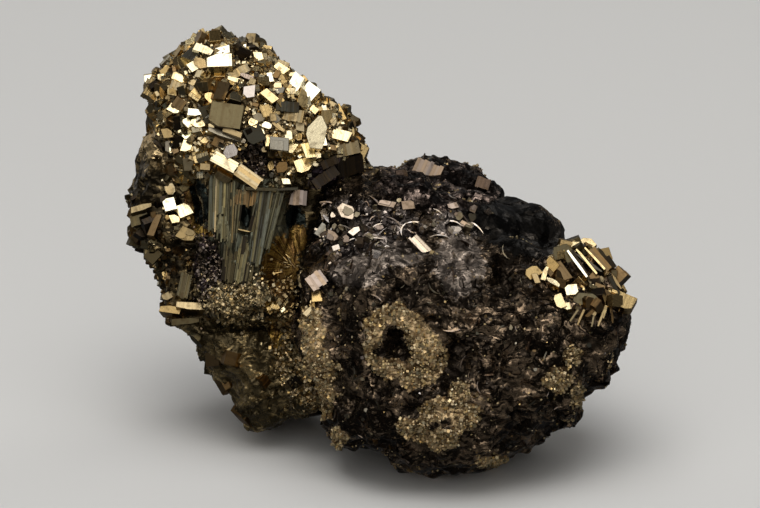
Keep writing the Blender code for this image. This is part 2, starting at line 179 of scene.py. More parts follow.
class Shader:
    """A node material around one Principled shader."""

    def __init__(self, name: str) -> None:
        """Starts the material with its Principled shader and output.

        Args:
            name: The material's name.
        """
        self.material = bpy.data.materials.new(name)
        self.material.use_nodes = True
        self.tree = self.material.node_tree
        self.principled = self.tree.nodes["Principled BSDF"]

    def node(
            self, kind: str, settings: Optional[dict] = None,
            values: Optional[dict] = None) -> bpy.types.Node:
        """Adds a node.

        Args:
            kind: The node's type, as Blender names it.
            settings: Its own settings, which are set first.
            values: Its sockets, by name or place, each with a number, a colour, a value or a socket.

        Returns:
            The new node.
        """
        made = self.tree.nodes.new(kind)
        for name, setting in (settings or {}).items():
            setattr(made, name, setting)
        for key, value in (values or {}).items():
            self.feed(made.inputs[key], value)
        return made

    def feed(self, socket: bpy.types.NodeSocket, value: object) -> None:
        """Links a value or a socket to a socket, or sets the socket to a number or a colour.

        Args:
            socket: The socket that is fed.
            value: What feeds it.
        """
        if isinstance(value, Value):
            self.tree.links.new(value.socket, socket)
        elif isinstance(value, bpy.types.NodeSocket):
            self.tree.links.new(value, socket)
        else:
            socket.default_value = value

    def attribute(self, name: str, output: str = "Fac") -> Value:
        """A named attribute of the mesh: its number, Color, Vector or Alpha."""
        made = self.node("ShaderNodeAttribute", {"attribute_name": name})
        return Value(self, made.outputs[output])

    def place(self) -> Value:
        """The surface point in millimetres, in the piece's own frame."""
        where = self.node("ShaderNodeTexCoord").outputs["Object"]
        return self.vector("SCALE", where, scale=1 / MM)

    def vector(self, operation: str, *values: object, scale: Optional[float] = None) -> Value:
        """A Vector Math node.

        Args:
            operation: What it does.
            values: Its vectors.
            scale: Its scale, for the operation that takes one.

        Returns:
            The vector, or the number where the operation gives one.
        """
        made = self.node("ShaderNodeVectorMath", {"operation": operation}, dict(enumerate(values)))
        if scale is not None:
            made.inputs["Scale"].default_value = scale
        return Value(self, made.outputs["Value" if operation == "DOT_PRODUCT" else "Vector"])

    def mix(self, share: Number, first: object, second: object) -> Value:
        """Mixes two colours.

        Args:
            share: How much of the second, from 0 to 1.
            first: The first colour.
            second: The second colour.

        Returns:
            The mixed colour.
        """
        colours = [(*c, 1) if isinstance(c, tuple) else c for c in (first, second)]
        made = self.node("ShaderNodeMix", {"data_type": "RGBA"}, {0: share, 6: colours[0], 7: colours[1]})
        return Value(self, made.outputs[2])

    def noise(self, where: Value, grain: float, detail: float = 2, roughness: float = 0.5) -> Value:
        """Soft noise of about this grain in millimetres, from 0 to 1."""
        made = self.node("ShaderNodeTexNoise", {}, {
            "Vector": where, "Scale": 1 / grain, "Detail": detail, "Roughness": roughness})
        return Value(self, made.outputs["Fac"])

    def lines(self, along: Value, width: float, detail: float = 3, roughness: float = 0.7) -> Value:
        """Parallel growth lines along a coordinate in millimetres, about this far apart."""
        made = self.node("ShaderNodeTexNoise", {"noise_dimensions": "1D"}, {
            "W": along, "Scale": 1 / width, "Detail": detail, "Roughness": roughness})
        return Value(self, made.outputs["Fac"])

    def facets(self, where: Value, size: float) -> tuple[Value, Value, Value]:
        """Small broken facets, each a plane with its own tilt.

        Args:
            where: The point in millimetres.
            size: A facet's size in millimetres.

        Returns:
            The height of the facets in facet sizes, a random colour for each, and a coordinate along each
            facet's own direction, in facet sizes.
        """
        scaled = self.vector("SCALE", where, scale=1 / size)
        cells = self.node("ShaderNodeTexVoronoi", {}, {"Vector": scaled, "Scale": 1})
        tilt = self.vector("SUBTRACT", cells.outputs["Color"], MIDDLE_GREY)
        from_middle = self.vector("SUBTRACT", scaled, cells.outputs["Position"])
        aside = self.vector("CROSS_PRODUCT", tilt, ASKEW)
        along = self.vector("DOT_PRODUCT", from_middle, aside)
        return self.vector("DOT_PRODUCT", from_middle, tilt), Value(self, cells.outputs["Color"]), along

    def parts(self, colour: Value) -> tuple[Value, Value, Value]:
        """A colour's red, green and blue as numbers."""
        made = self.node("ShaderNodeSeparateColor", {}, {0: colour})
        return tuple(Value(self, made.outputs[i]) for i in range(3))

    def finish(self, colour: object, roughness: Number, metal: Number, height: Value) -> bpy.types.Material:
        """Feeds the Principled shader.

        Args:
            colour: The base colour.
            roughness: From mirror bright at 0 to dull at 1.
            metal: How metallic it is.
            height: The fine relief, in millimetres.

        Returns:
            The finished material.
        """
        bump = self.node("ShaderNodeBump", {}, {"Height": height, "Distance": MM})
        fed = {"Base Color": colour, "Roughness": roughness, "Metallic": metal, "Normal": bump.outputs[0]}
        for name, value in fed.items():
            self.feed(self.principled.inputs[name], value)
        return self.material


class Tone(Enum):
    """The tones of a crystal face: red, green, blue and roughness."""

    WHITE = (0.98, 0.88, 0.63, 0.16)
    CREAM = (0.92, 0.76, 0.45, 0.22)
    GOLD = (0.80, 0.58, 0.26, 0.24)
    TAN = (0.56, 0.43, 0.23, 0.30)
    BRONZE = (0.34, 0.22, 0.10, 0.30)
    OLIVE = (0.19, 0.16, 0.09, 0.36)
    GREY = (0.34, 0.30, 0.22, 0.30)
    DARK = (0.05, 0.04, 0.03, 0.34)
    SILVER = (0.57, 0.50, 0.43, 0.25)
    SLATE = (0.125, 0.118, 0.088, 0.34)
    PINK = (0.37, 0.29, 0.23, 0.34)
    BRASS = (0.72, 0.55, 0.31, 0.34)
    KHAKI = (0.42, 0.325, 0.17, 0.40)
    MOSS = (0.30, 0.265, 0.145, 0.36)
    TEAL = (0.24, 0.235, 0.165, 0.34)
    UMBER = (0.17, 0.12, 0.09, 0.22)
    SOOT = (0.04, 0.032, 0.028, 0.18)


WHITE, CREAM, GOLD, TAN, BRONZE, OLIVE, GREY, DARK, SILVER = list(Tone)[:9]
SLATE, PINK, BRASS, KHAKI, MOSS, TEAL, UMBER, SOOT = list(Tone)[9:]


@dataclass(frozen=True)
class CrystalFinish:
    """Flat metallic crystal faces: each face's tone and polish are painted on it, with fine growth lines.

    Widths and sizes are how far apart the lines, pits and stains are in millimetres, depths how deep they
    are, and edges where in the noise the lines and stains begin and are full.
    """

    line_width: float = 0.3
    line_depth: float = 0.028
    line_shade: float = 0.35
    line_edges: Pair = (0.35, 0.75)
    pit_size: float = 0.35
    pit_depth: float = 0.012
    pit_dulling: float = 0.16
    tarnish: Colour = (0.10, 0.062, 0.028)
    tarnish_share: float = 0.45
    stain_size: float = 1.1
    stain_edges: Pair = (0.52, 0.70)
    stain_dulling: float = 0.15
    dulled: float = 0
    metal: float = 1

    def material(self) -> bpy.types.Material:
        """Makes the material.

        Returns:
            The material, which reads the attributes tone and lines.
        """
        shader = Shader("pyrite_crystals")
        where = shader.place()
        lines = shader.lines(shader.attribute("lines"), self.line_width)
        pits = shader.noise(where, self.pit_size, 3)
        stain = shader.noise(where, self.stain_size, 3, 0.6).step(*self.stain_edges) * self.tarnish_share
        tone = shader.attribute("tone", "Color")
        tone = shader.mix(lines.step(*self.line_edges) * self.line_shade, tone, self.tarnish)
        colour = shader.mix(stain, tone, self.tarnish)
        polish = shader.attribute("tone", "Alpha") + (pits - 0.5) * self.pit_dulling
        roughness = polish + stain * self.stain_dulling + self.dulled
        height = lines * self.line_depth + pits * self.pit_depth
        return shader.finish(colour, roughness, self.metal, height)


@dataclass(frozen=True)
class Look:
    """One kind of broken surface: dark facets with glinting ones among them.

    The tilts are how far the small and the large facets lean. Lines is how deep the growth lines are that
    run on through the region, and striae those that each facet has to itself, in millimetres. A band is the
    second colour of those growth lines. Curl glints is how strongly glints are painted along short curved
    lines and on tiny specks.
    """

    shade: Colour
    glint: Colour
    glints_from: float
    glints_to: float
    roughness: float
    metal: float = 0.9
    small_tilt: float = 0.3
    large_tilt: float = 0.5
    lines: float = 0
    band: Optional[Colour] = None
    striae: float = 0
    curl_glints: float = 0


class Grain:
    """The patterns of a broken surface that all its looks share.

    Small and large are the heights of its facets in facet sizes. Luck is how likely a facet is to glint,
    gloss how much rougher it is, and the shade by height how far the skin stands out of the body, which is
    painted shade: it dims glints in the hollows and brightens them on the ridges. The others are the growth
    lines and their bands, the striae, the painted glints along short curved lines and on tiny specks, the
    fine pits, and the raggedness of a region's edge.
    """

    def __init__(self, shader: Shader, finish: "MatrixFinish") -> None:
        """Adds the patterns to a material.

        Args:
            shader: The material.
            finish: The sizes of its facets and swirls.
        """
        where = shader.place()
        push = shader.node("ShaderNodeTexNoise", {}, {
            "Vector": where, "Scale": 1 / finish.warp_size, "Detail": 2})
        push = shader.vector("SUBTRACT", push.outputs["Color"], MIDDLE_GREY)
        swirled = shader.vector("ADD", where, shader.vector("SCALE", push, scale=2 * finish.warp))
        swirled = shader.vector("MULTIPLY", swirled, finish.stretch)
        self.small, small_colour, _ = shader.facets(swirled, finish.small)
        self.large, large_colour, along = shader.facets(swirled, finish.large)
        small_red, small_green, _ = shader.parts(small_colour)
        large_red, _, _ = shader.parts(large_colour)
        self.luck = small_red * 0.5 + large_red * 0.5 + (shader.noise(where, 5, 1) - 0.5) * 1.4
        self.gloss = (small_green - 0.5) * finish.gloss_range
        # The skin's heights, for painted shade: low in the hollows, high on the ridges.
        self.height_shade = shader.attribute("height_shade").step(-0.9, 0.7)
        drawn = shader.vector("MULTIPLY", shader.attribute("lines", "Vector"), (1, 0.1, 1))
        self.lines = shader.noise(drawn, 0.36, 3, 0.65)
        self.bands = shader.noise(drawn, 1.5, 1)
        self.striae = shader.lines(along * (2.2 * finish.large) + large_red * 60, 0.5)
        # Painted glints: bright thin lines on swirled folds, broken into short curls, and tiny bright specks.
        folds = (shader.noise(swirled, 3.2, 1) * 6).to_and_fro(0.5)
        broken = shader.noise(where, 1.3, 2).step(0.52, 0.62)
        specks = shader.noise(where, 0.3, 1).step(0.66, 0.72) * 0.7
        self.curl_glints = folds.step(0.42, 0.49) * broken + specks
        self.fine = shader.noise(where, 0.22, 2)
        self.edges = shader.noise(where, 0.7, 3) - 0.5


@dataclass(frozen=True)
class MatrixFinish:
    """The body that the crystals grow on: a general look, then a look for each painted region.

    Small and large are the sizes of its facets, and warp how far they are swirled, in millimetres. Stretch
    is how much closer together they are to the right, back and up.
    """

    name: str
    looks: tuple[Look, ...]
    small: float = 0.65
    large: float = 2.6
    warp: float = 1.3
    warp_size: float = 2.4
    stretch: Triple = (0.75, 0.9, 1.35)
    fine_depth: float = 0.02
    gloss_range: float = 0.24
    raggedness: float = 0.9
    region_edges: Pair = (0.42, 0.58)

    def material(self) -> bpy.types.Material:
        """Makes the material.

        Returns:
            The material, which reads the attributes region_0, region_1 and so on, the skin's heights and
            lines. The heights paint shade: glints are dimmed in the hollows and brightened on the ridges.
        """
        shader = Shader(self.name)
        grain = Grain(shader, self)
        general, *painted_looks = self.looks
        colour, roughness, metal, height = self._layer(shader, grain, general)
        for i, look in enumerate(painted_looks):
            here, rough, metallic, relief = self._layer(shader, grain, look)
            share = shader.attribute(f"region_{i}") + grain.edges * self.raggedness
            share = share.step(*self.region_edges)
            colour = shader.mix(share, colour, here)
            roughness = roughness + (rough - roughness) * share
            metal = metal + (metallic - metal) * share
            height = height + (relief - height) * share
        return shader.finish(colour, roughness, metal, height)

    def _layer(self, shader: Shader, grain: Grain, look: Look) -> tuple[Value, Value, float, Value]:
        """Adds a look as if it covered the whole body.

        Args:
            shader: The material.
            grain: Its patterns.
            look: The look.

        Returns:
            The look's colour, roughness, metal and relief in millimetres.
        """
        glints = grain.luck.step(look.glints_from, look.glints_to)
        if look.striae:
            glints = glints * (grain.striae.step(0.35, 0.65) + 0.3)
        # Painted glints along short curved lines and on tiny specks.
        if look.curl_glints:
            glints = glints + grain.curl_glints * look.curl_glints
        glint = look.glint
        if look.band:
            glints = grain.lines.step(0.42, 0.6) * (glints * 0.5 + 0.5)
            glint = shader.mix(grain.bands.step(0.48, 0.58), glint, look.band)
        # Painted shade: glints are dimmed in the skin's hollows and brightened on its ridges.
        colour = shader.mix(glints * (grain.height_shade * 0.9 + 0.35), look.shade, glint)
        relief = grain.small * (look.small_tilt * self.small) + grain.large * (look.large_tilt * self.large)
        relief = relief + grain.fine * self.fine_depth
        if look.lines:
            relief = relief + grain.lines * look.lines
        if look.striae:
            relief = relief + grain.striae * look.striae
        return colour, look.roughness + grain.gloss, look.metal, relief


@dataclass(frozen=True)
class Mass:
    """A lump of the body: its outline on the display face, and how far it reaches forwards and back."""

    front: float
    middle: float
    back: float
    squareness: float
    outline: Sequence[Pair]


@dataclass(frozen=True)
class Dent:
    """A pit (a negative height) or a swelling of the body on an upright oval of the display face."""

    at: Pair
    radii: Pair
    height: float = 1

    def distance(self, place: Triple) -> float:
        """The square of how many radii a place is from the middle."""
        x, y = (place[0] - self.at[0]) / self.radii[0], (place[1] - self.at[1]) / self.radii[1]
        return x * x + y * y

    def level(self, place: Triple) -> float:
        """The height at a place: nearly level inside the oval and half as high on its rim."""
        return self.height * (1 / (1 + self.distance(place) ** 3))


@dataclass(frozen=True)
class Oval:
    """A soft oval on the display face: its middle, half width and half height, and its turn in degrees."""

    at: Pair
    radii: Pair
    turn: float = 0

    def share(self, places: np.ndarray) -> np.ndarray:
        """How much of the oval is at each place.

        Args:
            places: Rows of across, up and back.

        Returns:
            The shares: 1 at its middle, 0.5 on its rim.
        """
        cosine, sine = math.cos(math.radians(self.turn)), math.sin(math.radians(self.turn))
        x, y = places[:, 0] - self.at[0], places[:, 1] - self.at[1]
        along, aside = (x * cosine + y * sine) / self.radii[0], (y * cosine - x * sine) / self.radii[1]
        return 1 / (1 + (along ** 2 + aside ** 2) ** 2)


def most_of(ovals: Sequence[Oval], places: np.ndarray) -> np.ndarray:
    """The largest share of several ovals at each place."""
    return np.max([oval.share(places) for oval in ovals], axis=0)


@dataclass(frozen=True)
class Region:
    """A look, and where it is painted: on ovals of the display side, or on all that lies past a height.

    Rise is the heights up the display face where it begins and where it is full.
    """

    look: Look
    ovals: tuple[Oval, ...] = ()
    rise: Optional[Pair] = None

    def share(self, places: np.ndarray, towards: np.ndarray) -> np.ndarray:
        """How much the look shows at each place.

        Args:
            places: Rows of across, up and back.
            towards: How much the surface faces the viewer.

        Returns:
            The shares, from 0 to 1.
        """
        if self.rise:
            return soft_step(*self.rise, places[:, 1])
        return self.seen(self.ovals, places, towards)

    @staticmethod
    def seen(ovals: Sequence[Oval], places: np.ndarray, towards: np.ndarray) -> np.ndarray:
        """The share of several ovals where the surface does not face away from the viewer."""
        return most_of(ovals, places) * soft_step(-0.1, 0.2, towards)


@dataclass(frozen=True)
class BrassRegion(Region):
    """Where grainy brass covers the dark mass: ragged patches in front with holes, and scattered ones behind.

    The sizes are those of the patches behind and of the raggedness in front, in millimetres.
    """

    holes: tuple[Oval, ...] = ()
    cloud_size: float = 5.5
    ragged_size: float = 1.9

    def share(self, places: np.ndarray, towards: np.ndarray) -> np.ndarray:
        """How much brass there is at each place.

        Args:
            places: Rows of across, up and back.
            towards: How much the surface faces the viewer.

        Returns:
            The shares, from 0 to 1.
        """
        front = self.seen(self.ovals, places, towards)
        holes = self.seen(self.holes, places, towards)
        points = [Vector(place) for place in places]
        cloud = np.array([noise.noise(point / self.cloud_size + Vector((3, 8, 1))) for point in points])
        ragged = np.array([noise.noise(point / self.ragged_size + Vector((1, 6, 2))) for point in points])
        behind = 0.75 * (soft_step(0.22, 0.42, cloud) * soft_step(0.1, -0.2, towards))
        return np.clip(np.maximum((front + 0.5 * ragged) * (1 - holes) * (front > 0.1), behind), 0, 1)


PYRITE_MASSES = {
    "head": Mass(-7, 4, 19, 2.6, [
        (-35, 22), (-35.7, 26.3), (-34.2, 30.2), (-31, 32.8), (-28.3, 34.6), (-24, 34), (-19.6, 33.2),
        (-15.3, 29.6), (-10.2, 26.2), (-6.3, 23.2), (-4.5, 19.8), (-2.8, 16), (-2.6, 13), (-6.5, 10),
        (-12.5, 8), (-20.5, 8), (-27.5, 10), (-32, 13), (-34.5, 18)]),
    "prism": Mass(-5.5, 3, 18, 4, [
        (-29.5, 16.5), (-12.5, 16.5), (-8, 12.5), (-9, 6.5), (-11, 0), (-12.5, -7), (-15, -10), (-26, -10),
        (-28, -5.5), (-28.5, 2.5), (-29, 8.5)]),
    "flank": Mass(2, 10, 21, 2.4, [
        (-34.5, 22), (-36.5, 18), (-38, 13.5), (-38.8, 8), (-38.6, 4), (-37, 1), (-35.2, -2), (-34, -5.5),
        (-33.5, -9.5), (-29, -10.5), (-24.5, -8.5), (-23, 5.5), (-25, 19.5), (-30.5, 23.5)]),
    "lobe": Mass(1, 12, 25, 2.4, [
        (-34, -9.5), (-30.5, -11.5), (-29, -14.5), (-27.8, -17.5), (-24.6, -20), (-23, -22), (-21.8, -25.5),
        (-18.5, -26.9), (-14, -25.1), (-8.5, -23.7), (-4.5, -21), (-4.5, -10), (-14, -7), (-26, -7)]),
}

DARK_MASSES = {
    "heel": Mass(12, 23, 32, 2.4, [
        (-26, -16), (-23, -23), (-18, -27), (-11, -25), (-5, -20), (-4, -8), (-10, 2), (-20, 2), (-27, -6)]),
    "dark mass": Mass(-19, 0, 21, 2.3, [
        (-12.5, -0.5), (-13, -12), (-10.5, -19.5), (-8.6, -25.4), (-6.8, -28.8), (-4, -30.3), (0.5, -32),
        (3.5, -34.1), (8, -34.3), (17, -33.6), (21.7, -31), (26.2, -28), (31, -26.7), (32.6, -22.6),
        (36.1, -19), (38.4, -15), (39.8, -11.5), (40, -8.5), (36.5, -4), (30, 0), (17.5, 4.5), (6.5, 7.5),
        (-6.5, 6.5)]),
    "shelf": Mass(-9, 4, 23, 2.4, [
        (-9.5, 11), (-1.5, 13.5), (2.5, 13.5), (15.5, 9.5), (22, 6.5), (22, -1), (6.5, -3), (-8, -3),
        (-12.5, 1)]),
    "brow": Mass(-21, -10, 4, 2.4, [
        (-7.5, -8), (-6, -2), (0, 1.5), (6.5, 2), (13, 0.5), (18, -4), (19, -12), (14, -19.5), (3, -22),
        (-5, -16.5)]),
    "black lobe": Mass(0, 9, 18, 2.4, [
        (14, 7), (19, 7.8), (23.5, 7.8), (26.8, 7), (29.2, 5), (29.8, 1.5), (27, -1), (19, -2.5), (14, 1)]),
    "knob": Mass(8, 16, 25, 2.3, [
        (0, 12), (3, 14), (7.5, 15), (10, 15), (13, 14.3), (16.5, 13.6), (18.9, 11.6), (19, 8.5), (15.5, 3),
        (3, 3), (-0.5, 8.5)]),
    "shoulder": Mass(-10, 0, 12, 2.6, [
        (22, -2), (25, 1), (28.5, 2.2), (32.5, 2), (34.8, 0), (36.7, -3.2), (38.6, -7.5), (36.5, -12),
        (28.5, -11), (23.5, -7)]),
    "back bulge": Mass(8, 17, 27, 2.2, [
        (-10, 4), (4, 9), (17, 5), (25, -8), (20, -20), (6, -24), (-8, -20), (-14, -8)]),
}

DENTS = {
    "hollow of the pyrite ring": Dent((2.8, -14), (1.9, 2.6), -3.2),
    "pyrite ring": Dent((4.3, -13.5), (6, 7), 1.0),
    "left pyrite patch": Dent((-10, -18), (3.5, 6.5), 0.9),
    "lower pyrite patch": Dent((9.5, -23.5), (5.5, 5), 0.9),
    "right pyrite patch": Dent((27, -18), (4.5, 4), 0.6),
    "recess above the ledge": Dent((-19.5, 14.5), (4.5, 2.2), -2.6),
    "cleft beside the prism": Dent((-11.5, 6), (2.6, 5), -3.5),
    "golden hollow": Dent((-15.5, -3.5), (2.6, 5), -2.0),
    "undercut below the prism": Dent((-20.5, -10.6), (6.5, 1.2), -2.2),
    "dark hollow of the prism": Dent((-26, -2.5), (2.5, 4), -1.6),
    "seam under the shelf": Dent((9, 1.8), (10, 1.1), -1.3),
    "seam beside the brow": Dent((19.5, -4), (1.6, 4), -1.4),
    "hollow under the black lobe": Dent((22, -1), (3, 1.3), -1.5),
    "notch of the lobe": Dent((-15, -24), (3, 1.2), -1.8),
}


ATTRIBUTE_FIELDS = {"FLOAT": "value", "FLOAT_VECTOR": "vector", "FLOAT_COLOR": "color"}


def store(mesh: bpy.types.Mesh, name: str, kind: str, domain: str, values: Sequence) -> None:
    """Stores a named attribute of a mesh.

    Args:
        mesh: The mesh.
        name: The attribute's name.
        kind: Whether it is a number, a vector or a colour, as Blender names it.
        domain: Whether each point or each corner has one.
        values: The values in order.
    """
    made = mesh.attributes.new(name, kind, domain)
    made.data.foreach_set(ATTRIBUTE_FIELDS[kind], np.asarray(values, np.float32).ravel())


OUTLINE_SPLITS = 4
RINGS = 12
SWELLS = (9, 1.3)
BUMPS = (4.2, 0.7)
BROKEN_FACETS = (5.5, 1.1)
BUMP_SHIFT = Vector((7, 1, 3))
DENT_REACH = 6


def facet_height(point: Vector, size: float, amount: float) -> float:
    """The height of a surface broken into cells, where each cell is a small plane with its own tilt.

    Args:
        point: The point in millimetres.
        size: A cell's size in millimetres.
        amount: How much the cells stand out.

    Returns:
        The height in millimetres.
    """
    _, (seed, *_) = noise.voronoi(point / size)
    tilt = noise.cell_vector(seed * 7.3) - Vector((0.5, 0.5, 0.5))
    return amount * 2 * (point / size - seed).dot(tilt)


def relief(point: Vector, towards_viewer: float) -> float:
    """How far the specimen's solid stands out of its lumps at a point.

    Args:
        point: The point in millimetres.
        towards_viewer: How much the surface faces the viewer there, from 0 to 1.

    Returns:
        The height in millimetres.
    """
    height = facet_height(point, *BROKEN_FACETS)
    for shift, (size, amount) in enumerate((SWELLS, BUMPS)):
        height += amount * noise.noise(point / size + BUMP_SHIFT * shift)
    place = on_face_point(point)
    for dent in DENTS.values():
        distance = dent.distance(place)
        if distance < DENT_REACH:
            height += dent.height * math.exp(-(distance ** 1.5)) * towards_viewer
    return height


def smooth_loop(points: Sequence[Pair]) -> list[Vector]:
    """Adds points between the corners of a closed outline, on a Catmull-Rom curve.

    Args:
        points: The outline's corners.

    Returns:
        The corners and the points between them.
    """
    count = len(points)
    loop = []
    for i in range(count):
        before, start, end, after = (Vector(points[(i + k) % count]) for k in (-1, 0, 1, 2))
        for step in range(OUTLINE_SPLITS):
            t = step / OUTLINE_SPLITS
            loop.append(0.5 * (
                2 * start + (end - before) * t
                + (2 * before - 5 * start + 4 * end - after) * t * t
                + (3 * start - before - 3 * end + after) * t ** 3))
    return loop


def add_lump(mesh: bmesh.types.BMesh, mass: Mass) -> None:
    """Adds a closed lump to a mesh: rings of its outline, drawn in towards its front and its back.

    Args:
        mesh: The mesh, in millimetres.
        mass: The lump.
    """
    loop = smooth_loop(mass.outline)
    centre = sum(loop, Vector((0, 0))) / len(loop)
    rings = []
    for ring in range(1, RINGS):
        reach = math.sin(math.pi * (ring / RINGS - 0.5))
        spread = (1 - abs(reach) ** mass.squareness) ** (1 / mass.squareness)
        end = mass.back if reach > 0 else mass.front
        back = mass.middle + abs(reach) * (end - mass.middle)
        drawn_in = [centre + spread * (point - centre) for point in loop]
        rings.append([mesh.verts.new(face_point(p.x, p.y, back)) for p in drawn_in])
    for ring, following in zip(rings, rings[1:]):
        for i in range(len(loop)):
            mesh.faces.new((ring[i - 1], following[i - 1], following[i], ring[i]))
    for ring, back in ((rings[0][::-1], mass.front), (rings[-1], mass.back)):
        pole = mesh.verts.new(face_point(centre.x, centre.y, back))
        for i in range(len(loop)):
            mesh.faces.new((ring[i], ring[i - 1], pole))


def numbers_of(
        items: bpy.types.bpy_prop_collection, name: str, width: int, kind: type = np.float32) -> np.ndarray:
    """A property of every item of a mesh's collection, as rows of numbers.

    Args:
        items: The mesh's points, corners or faces.
        name: The property.
        width: How many numbers it has.
        kind: How Blender stores them.

    Returns:
        The rows, whole numbers or long decimals.
    """
    flat = np.empty(len(items) * width, kind)
    items.foreach_get(name, flat)
    return flat.reshape(-1, width).astype(np.float64 if kind is np.float32 else int)


def corners_of(mesh: bpy.types.Mesh) -> np.ndarray:
    """The points at the corners of a mesh's four-sided faces, one row a face."""
    return numbers_of(mesh.loops, "vertex_index", 1, np.int32).reshape(-1, 4)


def summed(corners: np.ndarray, rows: np.ndarray, count: int) -> np.ndarray:
    """What the corners at each point of a mesh add up to, summed in the same order on every run."""
    flat = corners.ravel()
    return np.column_stack([np.bincount(flat, weights=column, minlength=count) for column in rows.T])


def skin_directions(mesh: bpy.types.Mesh) -> np.ndarray:
    """The direction that the surface faces at each point.

    Args:
        mesh: A mesh of four-sided faces.

    Returns:
        Rows of unit directions.
    """
    points = numbers_of(mesh.vertices, "co", 3)
    corners = corners_of(mesh)
    first, second, third, fourth = (points[corners[:, i]] for i in range(4))
    faced = np.repeat(np.cross(third - first, fourth - second), 4, axis=0)
    directions = summed(corners, faced, len(points))
    return directions / np.linalg.norm(directions, axis=1, keepdims=True)


def rounded(points: np.ndarray, corners: np.ndarray, times: int) -> np.ndarray:
    """A skin whose points have moved half way to the middle of their neighbours.

    Args:
        points: Rows of places.
        corners: The points at the corners of its four-sided faces.
        times: How many times they move.

    Returns:
        The new places.
    """
    count = np.bincount(corners.ravel(), minlength=len(points))[:, None]
    for _ in range(times):
        around = np.roll(points[corners], 1, axis=1) + np.roll(points[corners], -1, axis=1)
        points = 0.5 * points + 0.25 * summed(corners, around.reshape(-1, 3), len(points)) / count
    return points


@dataclass
class Body:
    """A part of the body without its crystals: lumps fused into one closed skin with fine relief.

    Cell is the width in millimetres of the grid that fuses the lumps. Softening is how often the skin is
    smoothed before it gets its relief, and rounding how often after that. Every kind of body has its own
    fine relief, painted regions and growth lines.
    """

    name: str
    material_name: str
    masses: dict[str, Mass]
    general: Look
    regions: tuple[Region, ...]
    cell: float
    softening: int
    rounding: int = 0
    obj: bpy.types.Object = field(init=False)

    def fine_relief(self, point: Vector, place: Triple, towards: float) -> float:
        """How far the skin stands out of the specimen's solid."""
        raise NotImplementedError

    def lines(self, places: np.ndarray) -> np.ndarray:
        """The coordinates across and along the growth lines."""
        raise NotImplementedError

    def build(self) -> bpy.types.Object:
        """Builds the skin, paints its regions and dresses it.

        Returns:
            The body's object.
        """
        self._fuse()
        self._carve()
        self._paint()
        finish = MatrixFinish(self.material_name, (self.general, *(region.look for region in self.regions)))
        self.obj.data.materials.clear()
        self.obj.data.materials.append(finish.material())
        return self.obj

    def _fuse(self) -> None:
        """Makes the lumps into one skin, in millimetres."""
        lumps = bmesh.new()
        for mass in self.masses.values():
            add_lump(lumps, mass)
        mesh = bpy.data.meshes.new(self.name)
        lumps.to_mesh(mesh)
        lumps.free()
        self.obj = bpy.data.objects.new(self.name, mesh)
        bpy.context.scene.collection.objects.link(self.obj)
        fuse = self.obj.modifiers.new("fuse", "REMESH")
        fuse.mode = "VOXEL"
        fuse.voxel_size = self.cell
        soften = self.obj.modifiers.new("soften", "SMOOTH")
        soften.iterations = self.softening
        bpy.context.view_layer.update()
        evaluated = self.obj.evaluated_get(bpy.context.evaluated_depsgraph_get())
        self.obj.data = bpy.data.meshes.new_from_object(evaluated)
        self.obj.modifiers.clear()

    def _carve(self) -> None:
        """Moves the skin's points by the solid's relief and the fine one, and flattens the ground spots."""
        mesh = self.obj.data
        moved, heights = [], []
        for vertex, direction in zip(mesh.vertices, skin_directions(mesh)):
            normal = Vector(direction)
            towards = normal.dot(VIEWER)
            height = relief(vertex.co, min(1, max(0, 2 * towards)))
            height += self.fine_relief(vertex.co, on_face_point(vertex.co), towards)
            moved.append(vertex.co + normal * height)
            heights.append(height)
        # The heights are kept for painted shade, which dims glints in the hollows and brightens them on the
        # ridges.
        store(mesh, "height_shade", "FLOAT", "POINT", heights)
        points = rounded(np.array(moved), corners_of(mesh), self.rounding)
        points[:, 2] = np.maximum(points[:, 2], 0)
        mesh.vertices.foreach_set("co", (points * MM).ravel())
        mesh.update()
        mesh.shade_smooth()

    def _paint(self) -> None:
        """Stores how much each region's look shows at each point, and its place on the growth lines."""
        mesh = self.obj.data
        places = on_face(numbers_of(mesh.vertices, "co", 3) / MM)
        towards = skin_directions(mesh) @ np.array(VIEWER)
        for i, region in enumerate(self.regions):
            store(mesh, f"region_{i}", "FLOAT", "POINT", region.share(places, towards))
        store(mesh, "lines", "FLOAT_VECTOR", "POINT", self.lines(places))


class Habit(Enum):
    """The shapes that a crystal grows in."""

    BLOCK = "a flat-faced block, often with a corner cut off"
    STEPPED = "a block with thinner steps on its face"
    SLABS = "thin slabs side by side, each a little higher or lower"
    PLATE = "a thin plate with six uneven sides"
    CURL = "a thin flake bent along an arc, standing on its edge"
    GRAIN = "a plain cube, for the smallest ones"


BLOCK, STEPPED, SLABS, PLATE, CURL, GRAIN = Habit


CURL_POINTS = 7
CUT_CORNERS = 0.36


@dataclass(frozen=True)
class Solid:
    """A crystal's corners in millimetres, its faces, and which coordinate the lines of each face follow."""

    points: np.ndarray
    faces: Sequence[Sequence[int]]
    lined_along: Sequence[int]


def prism_solid(outline: np.ndarray, depth: float, chamfer: float, spread: float = 0) -> Solid:
    """A many-sided prism with its face towards +Z and a narrow slope round the face.

    Args:
        outline: The corners of its face, turning left.
        depth: From its face to its foot.
        chamfer: The width of the slope.
        spread: How much wider the foot is than the face, as a share.

    Returns:
        The prism, with its middle at the origin.
    """
    count = len(outline)
    middle = outline.mean(axis=0)
    inner = middle + (outline - middle) * (1 - 2 * chamfer / np.ptp(outline, axis=0))
    foot = middle + (outline - middle) * (1 + spread)
    rings = [(foot, -depth / 2), (outline, depth / 2 - chamfer * 0.8), (inner, depth / 2)]
    points = np.vstack([np.column_stack([ring, np.full(count, z)]) for ring, z in rings])
    faces = [[*range(2 * count, 3 * count)], [*range(count - 1, -1, -1)]]
    for low in (0, count):
        faces += [[low + i, low + (i + 1) % count, low + count + (i + 1) % count, low + count + i]
                  for i in range(count)]
    return Solid(points, faces, [0, 0] + [2] * count + [0] * count)


